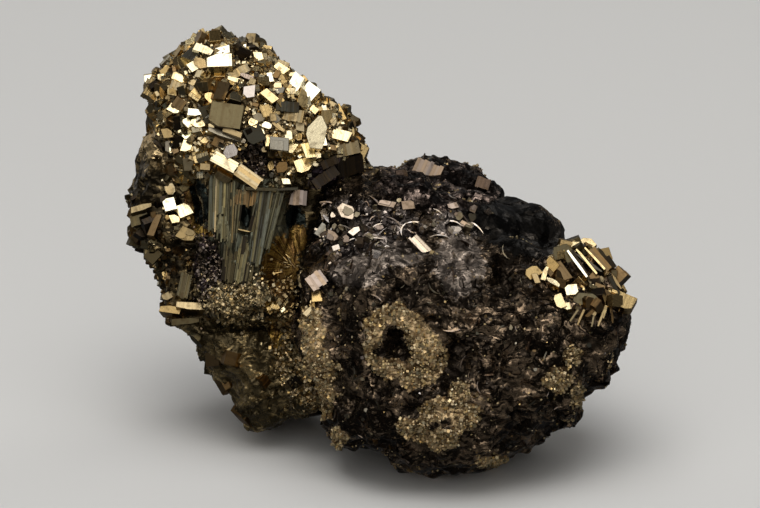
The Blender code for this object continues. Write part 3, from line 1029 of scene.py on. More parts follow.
def box_solid(low: Triple, high: Triple) -> Solid:
    """A plain box.

    Args:
        low: Its lowest corner.
        high: The corner across from it.

    Returns:
        The box.
    """
    rows = [(x, y, z) for z in (low[2], high[2]) for y in (low[1], high[1]) for x in (low[0], high[0])]
    faces = [(4, 5, 7, 6), (2, 3, 1, 0), (0, 1, 5, 4), (6, 7, 3, 2), (2, 0, 4, 6), (1, 3, 7, 5)]
    return Solid(np.array(rows, float), faces, [0, 0, 2, 2, 1, 1])


def curl_solid(width: float, thickness: float, depth: float, bend: float) -> Solid:
    """A thin strip bent along an arc, standing on its edge and thinner at its ends.

    Args:
        width: The length of the arc.
        thickness: The strip's thickness at its middle.
        depth: How high it stands.
        bend: The angle of the arc, in radians.

    Returns:
        The strip, with its middle at the origin.
    """
    count = CURL_POINTS
    angles = np.linspace(-bend / 2, bend / 2, count)
    radius = width / bend
    half = thickness * (0.1 + 0.4 * np.cos(angles / bend * math.pi))
    rows = []
    for z, side in itertools.product((-1, 1), (-1, 1)):
        out = radius + side * half
        rows.append(np.column_stack([
            np.sin(angles) * out, np.cos(angles) * out - radius, np.full(count, z * depth / 2)]))
    rings = [(0, 1), (1, 3), (3, 2), (2, 0)]
    faces = [(a * count + i, b * count + i, b * count + i + 1, a * count + i + 1)
             for a, b in rings for i in range(count - 1)]
    faces += [(0, 2 * count, 3 * count, count), (count - 1, 2 * count - 1, 4 * count - 1, 3 * count - 1)]
    return Solid(np.vstack(rows), faces, [2] * len(faces))


def joined(solids: Sequence[Solid]) -> Solid:
    """Joins several solids.

    Args:
        solids: The solids.

    Returns:
        All of them as one.
    """
    points, faces, lined = [], [], []
    start = 0
    for solid in solids:
        points.append(solid.points)
        faces += [[start + i for i in face] for face in solid.faces]
        lined += solid.lined_along
        start += len(solid.points)
    return Solid(np.vstack(points), faces, lined)


def cut_rectangle(width: float, height: float, chance: np.random.Generator, cuts: float) -> np.ndarray:
    """A rectangle a little out of square, with some of its corners cut off.

    Args:
        width: Its width.
        height: Its height.
        chance: The random numbers.
        cuts: How likely each corner is to be cut off.

    Returns:
        The corners, turning left.
    """
    corners = np.array([(-1, -1), (1, -1), (1, 1), (-1, 1)]) / 2 * (width, height)
    corners[:, 0] += corners[:, 1] * chance.uniform(-0.3, 0.3)
    outline = []
    for i in range(4):
        if chance.random() >= cuts:
            outline.append(corners[i])
            continue
        before, after = corners[i - 1], corners[(i + 1) % 4]
        near, far = chance.uniform(0.18, 0.45, 2)
        outline.append(corners[i] + (before - corners[i]) * near)
        outline.append(corners[i] + (after - corners[i]) * far)
    return np.array(outline)


def crystal_solid(habit: Habit, size: Triple, chance: np.random.Generator) -> Solid:
    """A crystal of some habit.

    Args:
        habit: The shape that it grows in.
        size: Its width, height and depth in millimetres.
        chance: The random numbers.

    Returns:
        The crystal, with its face towards +Z and its middle at the origin.
    """
    width, height, depth = size
    least = min(width, height)
    chamfer = min(0.05, 0.06 * least)
    if habit is GRAIN:
        return box_solid((-width / 2, -height / 2, -depth / 2), (width / 2, height / 2, depth / 2))
    if habit is CURL:
        return curl_solid(width, min(0.22, 0.12 * width), depth, chance.uniform(0.3, 1.7))
    if habit is PLATE:
        angles = (np.arange(6) + chance.uniform(-0.2, 0.2, 6)) * math.pi / 3
        outline = np.column_stack([np.cos(angles) * width, np.sin(angles) * height]) / 2
        return prism_solid(outline * chance.uniform(0.8, 1.15, (6, 1)), depth, chamfer)
    if habit is SLABS:
        count = max(3, round(width / chance.uniform(0.3, 0.55)))
        edges = np.linspace(-width / 2, width / 2, count + 1)
        edges[1:-1] += chance.uniform(-0.25, 0.25, count - 1) * width / count
        slabs = []
        for left, right in zip(edges, edges[1:]):
            down, up = height / 2 * chance.uniform(0.86, 1.04, 2)
            top = depth / 2 - chance.uniform(0, 0.16) * min(1, depth)
            slabs.append(box_solid((left, -down, -depth / 2), (right, up, top)))
        return joined(slabs)
    outline = cut_rectangle(width, height, chance, CUT_CORNERS)
    block = prism_solid(outline, depth, chamfer, chance.uniform(0, 0.12))
    if habit is BLOCK:
        return block
    steps = [block]
    for _ in range(chance.integers(1, 3)):
        share = chance.uniform(0.45, 0.85)
        thick = chance.uniform(0.06, 0.16) * min(1, least)
        step = prism_solid(outline * share, 2 * thick, chamfer * 0.6)
        corner = outline[chance.integers(len(outline))] * (1 - share) * 0.9
        step.points[:, :2] += corner
        step.points[:, 2] += depth / 2
        steps.append(step)
    return joined(steps)


LIT_TIPS = {
    WHITE: (22, -2), CREAM: (20, 4), GOLD: (15, 8), TAN: (11, -8), BRONZE: (2, 10),
    OLIVE: (-6, 4), GREY: (9, -4), DARK: (-16, 12), SILVER: (21, 0), SLATE: (-4, 6),
    PINK: (16, 2), BRASS: (12, 4), KHAKI: (2, -4), UMBER: (18, 0), SOOT: (4, 0),
}


def tipped(turn: float, up: float, right: float) -> Matrix:
    """The directions of a crystal, as the columns of a matrix.

    Args:
        turn: How far it is turned in the plane of the display face, in degrees.
        up: How far it is tipped up after that.
        right: How far it is tipped to the right.

    Returns:
        The directions in the specimen's frame.
    """
    turned = Euler((-math.radians(up), math.radians(right), math.radians(turn)), "ZXY")
    return FACE_AXES @ turned.to_matrix()


def spun(normal: Vector, lean: float, chance: np.random.Generator) -> Matrix:
    """Directions of a crystal that stands about along a normal.

    Args:
        normal: The way its face is turned.
        lean: The most that it leans away from there, in degrees.
        chance: The random numbers.

    Returns:
        The directions as the columns of a matrix, turned at random about the normal.
    """
    tilts = np.radians(chance.uniform(-lean, lean, 2))
    turn = Euler((*tilts, chance.uniform(0, 2 * math.pi)), "ZXY")
    return normal.to_track_quat("Z", "Y").to_matrix() @ turn.to_matrix()


@dataclass(frozen=True)
class Crystal:
    """A crystal placed one by one. Its face is turned in the plane of the display face, then tipped up and
    right, all in degrees.

    Size is its width, height and depth in millimetres, and proud the share of its depth that stands out of
    the ground, less a tenth. With no tip of its own it is tipped as crystals of its tone are, so that a
    bright one catches the light.
    """

    at: Pair
    size: Triple
    turn: float
    tone: Tone
    proud: float = 0.35
    tip: Optional[Pair] = None
    habit: Habit = BLOCK

    def axes(self) -> Matrix:
        """Its own directions in the specimen's frame, as the columns of a matrix."""
        return tipped(self.turn, *(self.tip or LIT_TIPS[self.tone]))


UNUSUAL = {float: "proud", tuple: "tip", Habit: "habit"}


def placed(*rows: tuple) -> tuple[Crystal, ...]:
    """Makes the listed crystals from a table.

    Args:
        rows: For each its place across and up, its width, height and depth, its turn and its tone, then its
            proud share, its tip and its habit, each only where it is not the usual one.

    Returns:
        The crystals in the table's order.
    """
    crystals = []
    for across, up, width, height, depth, turn, tone, *unusual in rows:
        named = {UNUSUAL[type(value)]: value for value in unusual}
        crystals.append(Crystal((across, up), (width, height, depth), turn, tone, **named))
    return tuple(crystals)


@dataclass(frozen=True)
class Scatter:
    """Crystals spread at random: how many are tried, their least and greatest widths, and the room of each.

    Sunk is the share of its depth that is in the ground, and lean how far it may lean, in degrees. Lit is
    the share of those in view that are tipped as their tone asks instead. Tones and habits have weights.
    """

    count: int
    sizes: Pair
    gap: float
    sunk: float
    lean: float
    lit: float
    tones: dict[Tone, float]
    habits: dict[Habit, float]


@dataclass(frozen=True)
class Panel:
    """A panel of upright flutes on the prism: the left and right ends of its foot and of its top.

    Proud is how far it stands in front of the ground in millimetres, and tip its tilt in degrees.
    """

    foot: tuple[Pair, Pair]
    top: tuple[Pair, Pair]
    flutes: int
    proud: float
    tip: Pair
    tones: dict[Tone, float]


def picked(weights: dict, chance: np.random.Generator) -> Enum:
    """One of a dict's keys at random, by their weights."""
    shares = np.array(list(weights.values()))
    return list(weights)[chance.choice(len(shares), p=shares / shares.sum())]


class Ground:
    """The surface that crystals grow on: it seats single ones and spreads many over it."""

    CELL = 2.0
    JITTER = 0.1

    def __init__(self, obj: bpy.types.Object, seed: int) -> None:
        """Measures the faces of a body.

        Args:
            obj: The body.
            seed: Where its random numbers start.
        """
        mesh = obj.data
        self.chance = np.random.default_rng(seed)
        self.surface = BVHTree.FromObject(obj, bpy.context.evaluated_depsgraph_get())
        self.centres = numbers_of(mesh.polygons, "center", 3) / MM
        self.normals = numbers_of(mesh.polygons, "normal", 3)
        self.areas = numbers_of(mesh.polygons, "area", 1)[:, 0]
        self.places = on_face(self.centres)
        self.towards = self.normals @ np.array(VIEWER)
        self.taken: dict[tuple, list] = defaultdict(list)

    def seat(self, at: Pair) -> Vector:
        """Finds where the viewer's line of sight meets the body, or the rim near it.

        Args:
            at: A place on the display face.

        Returns:
            The point in millimetres.
        """
        hit, _, _, _ = self.surface.ray_cast(face_point(*at, LOOK_FROM) * MM, face_vector(0, 0, 1))
        if hit is None:
            hit, _, _, _ = self.surface.find_nearest(face_point(*at, RIM_BACK) * MM)
        return hit / MM

    def take(self, point: Vector, gap: float) -> bool:
        """Takes a spot on the ground unless another one is too near.

        Args:
            point: The spot.
            gap: The room that it needs, in millimetres.

        Returns:
            Whether the spot was free.
        """
        x, y, z = (int(c // self.CELL) for c in point)
        for near in itertools.product((x - 1, x, x + 1), (y - 1, y, y + 1), (z - 1, z, z + 1)):
            for other, room in self.taken[near]:
                if (other - point).length < (gap + room) / 2:
                    return False
        self.taken[x, y, z].append((point, gap))
        return True

    def spots(self, share: np.ndarray, count: int, gap: float) -> Iterator[tuple[Vector, Vector, int]]:
        """Spreads spots over the body.

        Args:
            share: How likely each face is to carry one.
            count: How many are tried for.
            gap: The room that each needs, in millimetres, or 0 for none.

        Yields:
            The spot, the surface's direction there, and the face it is on.
        """
        weight = share * self.areas
        for i in self.chance.choice(len(weight), size=count, p=weight / weight.sum()):
            jitter = Vector(self.chance.uniform(-self.JITTER, self.JITTER, 3))
            point = Vector(self.centres[i]) + jitter
            if not gap or self.take(point, gap):
                yield point, Vector(self.normals[i]), i


class Growth:
    """Many crystals gathered into one mesh, with a tone and growth lines on every face."""

    LINED = (0, 0.4, 1)
    LIGHT = (0.62, 1.12)
    WARMTH = 0.07
    WOBBLE = 11
    FACING = 0.35

    def __init__(self, name: str, seed: int) -> None:
        """Starts with no crystals.

        Args:
            name: The piece's name.
            seed: Where its random numbers start.
        """
        self.name = name
        self.chance = np.random.default_rng(seed)
        self.points: list[np.ndarray] = []
        self.faces: list[list[int]] = []
        self.tones: list[tuple] = []
        self.lines: list[float] = []
        self.size = 0

    def add(self, solid: Solid, place: Vector, axes: Matrix, tone: Tone, lined: Sequence = LINED) -> None:
        """Adds a crystal.

        Args:
            solid: Its shape.
            place: Where its middle is, in millimetres.
            axes: Its own directions, as the columns of a matrix.
            tone: Its tone.
            lined: How closely lined its faces may be, of which each face gets one.
        """
        self.points.append(solid.points @ np.array(axes).T + np.array(place))
        start = self.chance.uniform(0, 500)
        red, green, blue, rough = tone.value
        for face, along in zip(solid.faces, solid.lined_along):
            self.faces.append([self.size + i for i in face])
            light = self.chance.uniform(*self.LIGHT)
            warm = self.chance.uniform(-self.WARMTH, self.WARMTH)
            colour = (min(1, red * light * (1 + warm)), green * light, blue * light * (1 - 2 * warm), rough)
            strength = self.chance.choice(lined)
            coordinates = solid.points[:, along]
            for i in face:
                self.tones.append(colour)
                self.lines.append(start + coordinates[i] * strength)
        self.size += len(solid.points)

    def place(self, ground: Ground, crystals: Sequence[Crystal]) -> None:
        """Adds the crystals placed one by one, and takes their spots on the ground.

        Args:
            ground: The surface.
            crystals: The crystals.
        """
        for crystal in crystals:
            axes = crystal.axes()
            seat = ground.seat(crystal.at)
            ground.take(seat, 0.75 * (crystal.size[0] + crystal.size[1]))
            place = seat + axes.col[2] * (crystal.proud - 0.4) * crystal.size[2]
            self.add(crystal_solid(crystal.habit, crystal.size, self.chance), place, axes, crystal.tone)

    def spread(
            self, ground: Ground, share: np.ndarray, scatter: Scatter,
            gleam: Optional[np.ndarray] = None) -> None:
        """Spreads crystals over the ground.

        Args:
            ground: The surface.
            share: How likely each of its faces is to carry one.
            scatter: What they are like.
            gleam: How much more of them than usual catch the light on each face.
        """
        chance = self.chance
        for point, normal, face in ground.spots(share, scatter.count, scatter.gap):
            tone = picked(scatter.tones, chance)
            habit = picked(scatter.habits, chance)
            low, high = scatter.sizes
            width = low + (high - low) * chance.random() ** 1.7
            height = width * chance.uniform(0.6, 1.5)
            thin = habit in (PLATE, CURL)
            depth = min(0.6, 0.3 * width) if thin else width * chance.uniform(0.7, 1.4)
            lit = scatter.lit if gleam is None else scatter.lit * gleam[face]
            if normal.dot(VIEWER) > self.FACING and chance.random() < lit:
                turn = chance.uniform(-50, 50)
                axes = tipped(turn, *(LIT_TIPS[tone] + chance.normal(0, self.WOBBLE, 2)))
            else:
                axes = spun(normal, scatter.lean, chance)
            place = point + normal * (0.5 - scatter.sunk) * depth
            self.add(crystal_solid(habit, (width, height, depth), chance), place, axes, tone)

    def build(self, material: bpy.types.Material) -> bpy.types.Object:
        """Makes the one mesh of all the crystals.

        Args:
            material: Its finish.

        Returns:
            The piece's object.
        """
        mesh = bpy.data.meshes.new(self.name)
        mesh.from_pydata(np.vstack(self.points) * MM, [], self.faces)
        store(mesh, "tone", "FLOAT_COLOR", "CORNER", self.tones)
        store(mesh, "lines", "FLOAT", "CORNER", self.lines)
        mesh.materials.append(material)
        obj = bpy.data.objects.new(self.name, mesh)
        bpy.context.scene.collection.objects.link(obj)
        return obj


HEAD_CRYSTALS = placed(
    (-28.7, 33.6, 3.9, 1.1, 2.6, 30, CREAM, (30, -8)), (-27.6, 32, 3.1, 1.35, 2.4, -20, WHITE),
    (-24.6, 31.8, 2.3, 1.35, 2.4, 15, WHITE), (-25, 29.7, 4, 2.2, 3.6, 2, WHITE, 0.55),
    (-25.3, 28, 2.6, 1.4, 2.6, 0, GOLD, 0.3, (-30, 0)),
    (-31.6, 27.6, 2.2, 1.4, 2, -30, CREAM, STEPPED),
    (-31.5, 26.4, 2.4, 1.4, 2, -16, TAN, SLABS), (-34.4, 27.8, 1.1, 1.2, 1.4, 8, CREAM),
    (-28.9, 25, 1.9, 1.7, 2, -35, GOLD, STEPPED), (-28.9, 22, 2.3, 1.2, 2, -5, WHITE, 0.5),
    (-28.5, 20.3, 2.4, 1.4, 2, -10, CREAM, 0.5), (-29.7, 19.4, 1, 1, 1.4, 10, WHITE, 0.5),
    (-30.2, 18.4, 1.6, 1.2, 1.8, -8, WHITE, 0.5), (-30.3, 16.8, 1.6, 2, 2, -8, CREAM, 0.5),
    (-30.7, 14.5, 1.5, 1.5, 1.8, 38, CREAM, 0.5), (-33.2, 19, 1.6, 1.6, 1.8, 8, TAN, 0.5),
    (-32.8, 17, 1.7, 1.9, 1.8, 12, GREY), (-23.9, 21.5, 5.2, 3.9, 3.6, -8, OLIVE, 0.5, (12, -4)),
    (-27, 22.2, 2, 2.8, 2.6, 14, SLATE, 0.4), (-20.4, 25.2, 1.9, 2, 2, 10, SILVER, 0.5),
    (-26.1, 24.2, 1, 2.2, 1.6, 28, CREAM, 0.5), (-25.1, 24.4, 1.1, 1.7, 1.6, -25, GOLD, 0.45),
    (-17.3, 24.6, 1.4, 2.6, 2, 35, CREAM, 0.5), (-17.1, 27.6, 0.9, 1.6, 1.6, 6, WHITE, 0.5),
    (-16, 26.4, 1.3, 0.9, 1.4, 0, CREAM, 0.5), (-15.5, 29.1, 2.2, 1.4, 2, -35, CREAM),
    (-14.1, 27.8, 2.3, 1.1, 2.2, 32, CREAM, 0.4), (-13.1, 26.3, 2, 3, 2.6, -40, WHITE, 0.7),
    (-11.3, 24.4, 2.5, 3.9, 2.8, -39, WHITE, 0.75),
    (-14.5, 23.4, 3.6, 1.6, 2.6, -4, SLATE, 0.4, SLABS),
    (-13.7, 21.8, 4, 2, 2.6, -10, TAN, 0.4, SLABS),
    (-10.1, 18.9, 3.1, 5.4, 3, -6, CREAM, 0.5, (14, 8)), (-9, 17.2, 1.6, 1.6, 2, 6, WHITE, 0.8),
    (-6.1, 18.5, 3, 1.8, 2, -15, CREAM, 0.5), (-5.3, 16.6, 4, 2, 2.8, 12, TAN, 0.4, (2, 10), SLABS),
    (-12, 13.7, 2.6, 2.3, 2.4, 20, CREAM, 0.5), (-15.5, 13.8, 1.9, 1.7, 2, 4, BRONZE, 0.5),
    (-17.6, 20, 1.6, 1.1, 1.6, -20, WHITE, 0.6), (-18.4, 19.2, 0.7, 1.2, 1.2, 4, WHITE, 0.6),
    (-17.6, 17.7, 0.9, 2, 1.6, 5, CREAM, 0.5), (-14.2, 18.4, 1.2, 1.6, 1.6, 20, WHITE, 0.6),
    (-6.4, 22.3, 1.3, 2.8, 1.8, 25, GOLD), (-8.7, 22.7, 1, 1.2, 1.4, 10, WHITE, 0.5),
    (-5.7, 20.2, 0.8, 1.1, 1.4, 0, WHITE, 0.5), (-24, 18.4, 6.2, 1, 2.2, -18, GREY, 0.5, (20, 6)),
    (-22.9, 19.1, 3.2, 0.9, 2, -20, TAN, 0.4), (-23.2, 16.2, 2.3, 2, 2, 20, SILVER, 0.4, (8, -10)),
    (-19.6, 16.2, 1.3, 1.6, 1.6, 12, SILVER, 0.5), (-1.9, 15.8, 1.3, 1.7, 1.8, 12, GOLD),
    (-2.6, 13.4, 1, 1.8, 1.6, -24, CREAM), (-4.7, 14.3, 4.2, 3, 2.6, 10, DARK, 0.3, SLABS),
    (-8.6, 12.2, 4.4, 1.8, 2.4, 34, DARK, 0.35, (4, 8), SLABS),
    (-7.9, 14.6, 2.8, 1.4, 2.2, 24, DARK, 0.3, (-2, 8), SLABS),
    (-14.6, 11.3, 1.3, 1, 1.4, 0, WHITE, 0.5), (-21.9, 31.4, 3, 2.3, 2.6, 60, DARK, 0.3, SLABS),
    (-19.6, 32, 2.2, 2.4, 2.4, 12, DARK, 0.3), (-21.2, 32.4, 0.5, 1.2, 1, 10, WHITE, 0.6),
    (-21.9, 28.6, 3.4, 1.4, 2.2, 30, TAN, 0.4, SLABS), (-22.7, 27.2, 2.4, 0.8, 1.6, -12, CREAM, 0.5),
    (-20.8, 27.8, 2.2, 0.8, 1.6, -20, PINK, 0.5), (-28, 30, 1.8, 1.8, 2, 10, TAN),
    (-29.3, 29.4, 1.5, 1.6, 1.8, 30, CREAM), (-28.3, 26.6, 2.8, 2, 2.2, -6, GREY, 0.3),
    (-31.6, 23.8, 1.8, 1.8, 2, -35, BRONZE, 0.4, SLABS),
    (-32.3, 22.7, 1.9, 1.4, 1.8, -30, CREAM, 0.4), (-31.4, 21, 2.1, 2.3, 2, 8, DARK, 0.3),
    (-31.8, 18, 1.4, 2, 1.8, 0, DARK, 0.3), (-19.7, 19, 2.8, 2.8, 2.4, 24, SLATE, 0.35),
    (-15.6, 17.3, 3, 2.1, 2.4, -6, GREY, 0.4, STEPPED), (-15.9, 20.2, 0.7, 3, 1.6, 38, TAN, 0.5),
    (-18.8, 21.5, 1.7, 1.5, 1.6, 15, GREY, 0.5), (-12.3, 20, 1.4, 1.4, 1.6, -12, TAN, 0.5),
)

LEDGE_CRYSTALS = placed(
    (-24.3, 13.7, 1.9, 4.3, 3.6, 60, CREAM, 0.65, (20, 2), SLABS),
    (-20.6, 11.7, 2.1, 4.6, 3.6, 54, TAN, 0.58, (15, 2), SLABS),
    (-24.6, 12.7, 2.6, 1.2, 2.6, -30, TAN, 0.5, (-20, 0)), (-18.6, 10.5, 5, 0.5, 2.4, -3, OLIVE, 0.55),
    (-14.6, 10.5, 3.4, 0.45, 2.4, 2, SLATE, 0.6),
    (-13, 8.9, 3.2, 2.5, 2.6, -4, PINK, 0.5, (6, 0), SLABS),
    (-21.2, 3.5, 2, 0.22, 2.6, -12, KHAKI, 0.6, (12, 0)),
    (-16.4, -8.3, 1.4, 0.8, 1.2, -20, GOLD, 0.4, STEPPED), (-15.2, -8.7, 0.9, 0.7, 1, 30, CREAM, 0.4),
    (-17.4, -8.5, 0.8, 0.6, 0.9, 8, GOLD, 0.4, STEPPED),
    (-32.5, -9.2, 3.4, 1.2, 4, -8, GOLD, 0.6, (14, -10)), (-28.8, -9, 6, 1.2, 4.6, -3, TAN, 0.7, (16, -4)),
    (-30.6, -10.4, 4.4, 1, 3, 4, OLIVE, 0.5, (0, 0)),
)

FLANK_CRYSTALS = placed(
    (-32.9, 10.2, 1.7, 1.9, 2, 4, TAN, 0.45, (14, -6), STEPPED),
    (-33, 7.5, 2, 2.2, 2.4, 12, WHITE, 0.5, STEPPED), (-30.8, 6.6, 2.3, 2.2, 2.4, 24, WHITE, 0.5),
    (-32.3, 5.4, 1.5, 1.4, 2, 8, CREAM, 0.45),
    (-30.2, 3, 2.8, 2.1, 2.4, -24, KHAKI, 0.45, (12, -8), STEPPED),
    (-37.3, 7.1, 3.4, 1, 3, 16, KHAKI, 0.5, (14, -8)),
    (-37.5, 5.6, 3.2, 1.8, 3, 12, OLIVE, 0.45, (2, -8), SLABS),
    (-35.3, 4.6, 1.1, 3.6, 2, -10, BRONZE, 0.4, (10, -8)), (-37, -0.2, 1.4, 1.6, 2, 10, BRONZE, 0.4),
    (-33.8, -3.2, 1.2, 1.2, 1.6, 20, GOLD, 0.4),
    (-30.9, -5, 1.8, 4.2, 2.4, -14, OLIVE, 0.35, (14, 10), SLABS),
    (-33.4, -6.6, 1.6, 1.2, 1.6, 30, TAN, 0.35),
)

DARK_MASS_CRYSTALS = placed(
    (-5.1, 6.5, 3.3, 2.8, 1.2, -14, SILVER, 0.7, PLATE),
    (-5.1, 6.6, 2.0, 1.7, 1.2, -14, GREY, 0.85, (14, 6), PLATE),
    (6.6, 0.9, 1.4, 4.6, 1.8, 42, SILVER, 0.8, (20, 2), SLABS),
    (-8, 5.2, 2.5, 0.7, 1.4, -42, SILVER, 0.6), (-8.6, 6.1, 1.8, 0.4, 1.2, -36, SILVER, 0.6),
    (-8.9, 3.6, 1.5, 2.2, 2, -34, GREY, 0.45, (14, -8), SLABS),
    (-7.2, 2.8, 1.9, 1.5, 2, -24, PINK, 0.4, (12, -8), STEPPED),
    (-3.8, 3.6, 1.1, 1.9, 1.4, -35, SILVER, 0.5), (-6.8, 1, 1.2, 0.9, 1, 20, SILVER, 0.5),
    (-1.6, 2.6, 4.4, 0.3, 0.5, 3, SILVER, 0.8, CURL),
    (3.5, 4.1, 2.6, 0.3, 0.6, 68, SILVER, 0.8, CURL),
    (5.6, 5.1, 3.4, 0.3, 0.5, -4, SILVER, 0.8, CURL),
    (5.4, 3.4, 2.8, 0.3, 0.5, 168, PINK, 0.8, CURL),
    (11.6, 5.2, 3, 0.3, 0.5, -12, SILVER, 0.8, CURL),
    (15.3, 4.4, 3.2, 0.4, 0.7, -42, SILVER, 0.8, CURL),
    (13.4, 4.6, 1.8, 0.9, 1.2, -30, PINK, 0.5, STEPPED),
    (1.2, 7.9, 2.6, 1, 1, -12, PINK, 0.6, (18, 0), STEPPED),
    (4.5, 7.8, 2, 1.4, 1.2, 6, PINK, 0.45, (8, 0)), (11.5, 7.6, 1.6, 1, 1, 14, PINK, 0.5),
    (7.6, 13.2, 4.4, 3.4, 2, -24, PINK, 0.34, (7, -6), SLABS),
    (3.6, 12.6, 1.8, 2, 1.8, 10, UMBER, 0.4, (-4, 0), STEPPED),
    (16.4, 11.4, 2.2, 1.8, 1.8, -18, UMBER, 0.4, (2, 0), SLABS),
    (-9.8, -4.2, 2.8, 2.7, 1.4, 35, PINK, 0.6, (20, 0), SLABS),
    (-9.8, -6.6, 1.7, 2, 1.6, 4, GOLD, 0.6, (17, 4)),
    (-10.9, -8.9, 0.9, 2.2, 1.4, -34, TAN, 0.5, (16, 0), STEPPED),
    (-10.4, -7.9, 0.7, 1.6, 1.2, 30, CREAM, 0.5), (-12.9, -1.6, 0.9, 2, 1.2, -24, CREAM, 0.5),
    (-13.8, -4.1, 1, 2.1, 1.2, 12, CREAM, 0.5),
)

SHOULDER_CRYSTALS = placed(
    (31, -2.2, 0.45, 5.4, 3, 42, WHITE, 0.7, (22, -2)), (31.8, -1.8, 0.4, 5.4, 3, 42, DARK, 0.62, (10, -8)),
    (32.4, -1.8, 0.4, 5.2, 3, 42, CREAM, 0.7, (21, 0)), (33, -1.5, 0.5, 5, 3, 42, SLATE, 0.62, (10, -8)),
    (33.7, -1.3, 0.35, 4.8, 3, 42, CREAM, 0.72, (20, 0)),
    (34.3, -0.9, 1.5, 4.6, 3, 40, BRONZE, 0.6, (4, 4), SLABS),
    (32.3, 1.2, 2.8, 2.2, 2.2, 36, CREAM, 0.55, STEPPED), (36, -1.7, 0.6, 3.6, 2.6, 22, WHITE, 0.7),
    (36.9, -1.2, 1.6, 3.8, 2.6, 40, GOLD, 0.5, (18, 4), SLABS),
    (36.6, -4.6, 0.7, 3.2, 2.2, 24, SLATE, 0.5), (37.2, -4.3, 0.5, 3, 2.2, 24, TAN, 0.5),
    (38.2, -4.8, 1.1, 1.5, 1.6, 10, CREAM, 0.5), (37.9, -7.4, 3.9, 2.4, 2.6, -24, GOLD, 0.45, (17, 6)),
    (30, -5.9, 2, 1.8, 2, 6, WHITE, 0.65), (33, -5.1, 1.2, 0.5, 1.2, 4, WHITE, 0.6),
    (25.7, -3.3, 0.8, 2.4, 2, -14, CREAM, 0.65), (27, -4.6, 2.4, 0.8, 2, -30, CREAM, 0.65),
    (23.8, -2.9, 2.4, 1.8, 2, 30, GOLD, 0.45), (24.6, -3.8, 0.9, 1.6, 1.6, 8, TAN, 0.6),
    (28, -2.8, 2.9, 3.2, 2.6, 20, BRONZE, 0.45, (6, -4), STEPPED),
    (28.9, 0, 3.2, 3, 2.6, 16, OLIVE, 0.4, (6, -6)), (28, -7.5, 1.5, 2.4, 1.8, 20, CREAM, 0.5),
    (29.2, -8.2, 1.2, 1.2, 1.4, 10, CREAM, 0.5), (32.1, -6.9, 3.8, 1.9, 2.2, -4, OLIVE, 0.4, (4, 0)),
    (30.6, 1.8, 2.4, 1.8, 2.2, 20, OLIVE, 0.4), (35.4, -6.4, 1.3, 2.4, 1.8, 30, BRONZE, 0.5),
    (34, -8.6, 0.6, 2.2, 1.6, -30, TAN, 0.5), (35, -9, 0.6, 2.2, 1.6, -18, GOLD, 0.4),
    (32.8, -9, 0.6, 1.9, 1.4, -36, BRONZE, 0.5), (30.4, -9.4, 0.3, 2.2, 1.4, -44, KHAKI, 0.5),
    (31.5, -9.8, 0.35, 2.6, 1.4, -34, TAN, 0.5), (33.4, -10, 0.3, 2.4, 1.4, -24, KHAKI, 0.5),
    (34.6, -10.2, 0.35, 2.2, 1.4, -14, TAN, 0.5), (36.2, -9.4, 0.4, 2.4, 1.4, -4, BRONZE, 0.5),
)

PALE_FLUTES = {TEAL: 0.7, MOSS: 0.3}
GREEN_FLUTES = {TEAL: 0.5, MOSS: 0.2, OLIVE: 0.1, SLATE: 0.2}
DULL_FLUTES = {OLIVE: 0.5, MOSS: 0.2, DARK: 0.2, SLATE: 0.1}

PANELS = (
    Panel(((-26.85, 4.1), (-25.9, 4.1)), ((-26.75, 12.6), (-25.75, 12.6)), 4, 0.5, (5, -2), PALE_FLUTES),
    Panel(((-25.9, 4), (-25.65, 4)), ((-25.7, 12.6), (-25.4, 12.6)), 1, 0.7, (7, -2), {TAN: 1}),
    Panel(((-25.65, 4), (-24.9, 3.6)), ((-25.4, 12.7), (-24.6, 12.7)), 3, 0.5, (5, -2), PALE_FLUTES),
    Panel(((-24.9, 2.4), (-22.9, 2.4)), ((-24.6, 12.2), (-22.6, 11.4)), 8, 0.6, (6, -2),
          {MOSS: 0.6, TEAL: 0.2, KHAKI: 0.2}),
    Panel(((-22.6, 8), (-19.5, 8)), ((-22.6, 10.3), (-19.1, 10.3)), 11, 0.4, (5, -2),
          {BRONZE: 0.4, OLIVE: 0.3, KHAKI: 0.3}),
    Panel(((-23, 3.4), (-22.1, 3.4)), ((-22.8, 8), (-21.5, 8)), 5, 0.3, (4, -2), DULL_FLUTES),
    # Half of these flutes are dark: painted shade in the recess beside the prism's hole.
    Panel(((-20.7, 3.5), (-19.3, 3.5)), ((-19.6, 8), (-18.4, 8)), 5, 0.3, (2, 2),
          {OLIVE: 0.3, DARK: 0.5, SLATE: 0.2}),
    Panel(((-24.8, -3.6), (-23.2, -4)), ((-24.3, 2.6), (-22.4, 2.6)), 6, 0.5, (4, -2), DULL_FLUTES),
    Panel(((-23.4, -4.2), (-20.1, -4.2)), ((-22.3, 3.2), (-18.7, 3.2)), 12, 0.6, (4, -2), DULL_FLUTES),
    Panel(((-20.3, -1.2), (-18.6, -1.2)), ((-18.9, 10.2), (-16.6, 10.2)), 7, 0.8, (5, -3), GREEN_FLUTES),
    Panel(((-18.6, 0.8), (-17.2, 0.8)), ((-16.6, 10), (-14.9, 9.8)), 6, 0.6, (4, -3), GREEN_FLUTES),
)

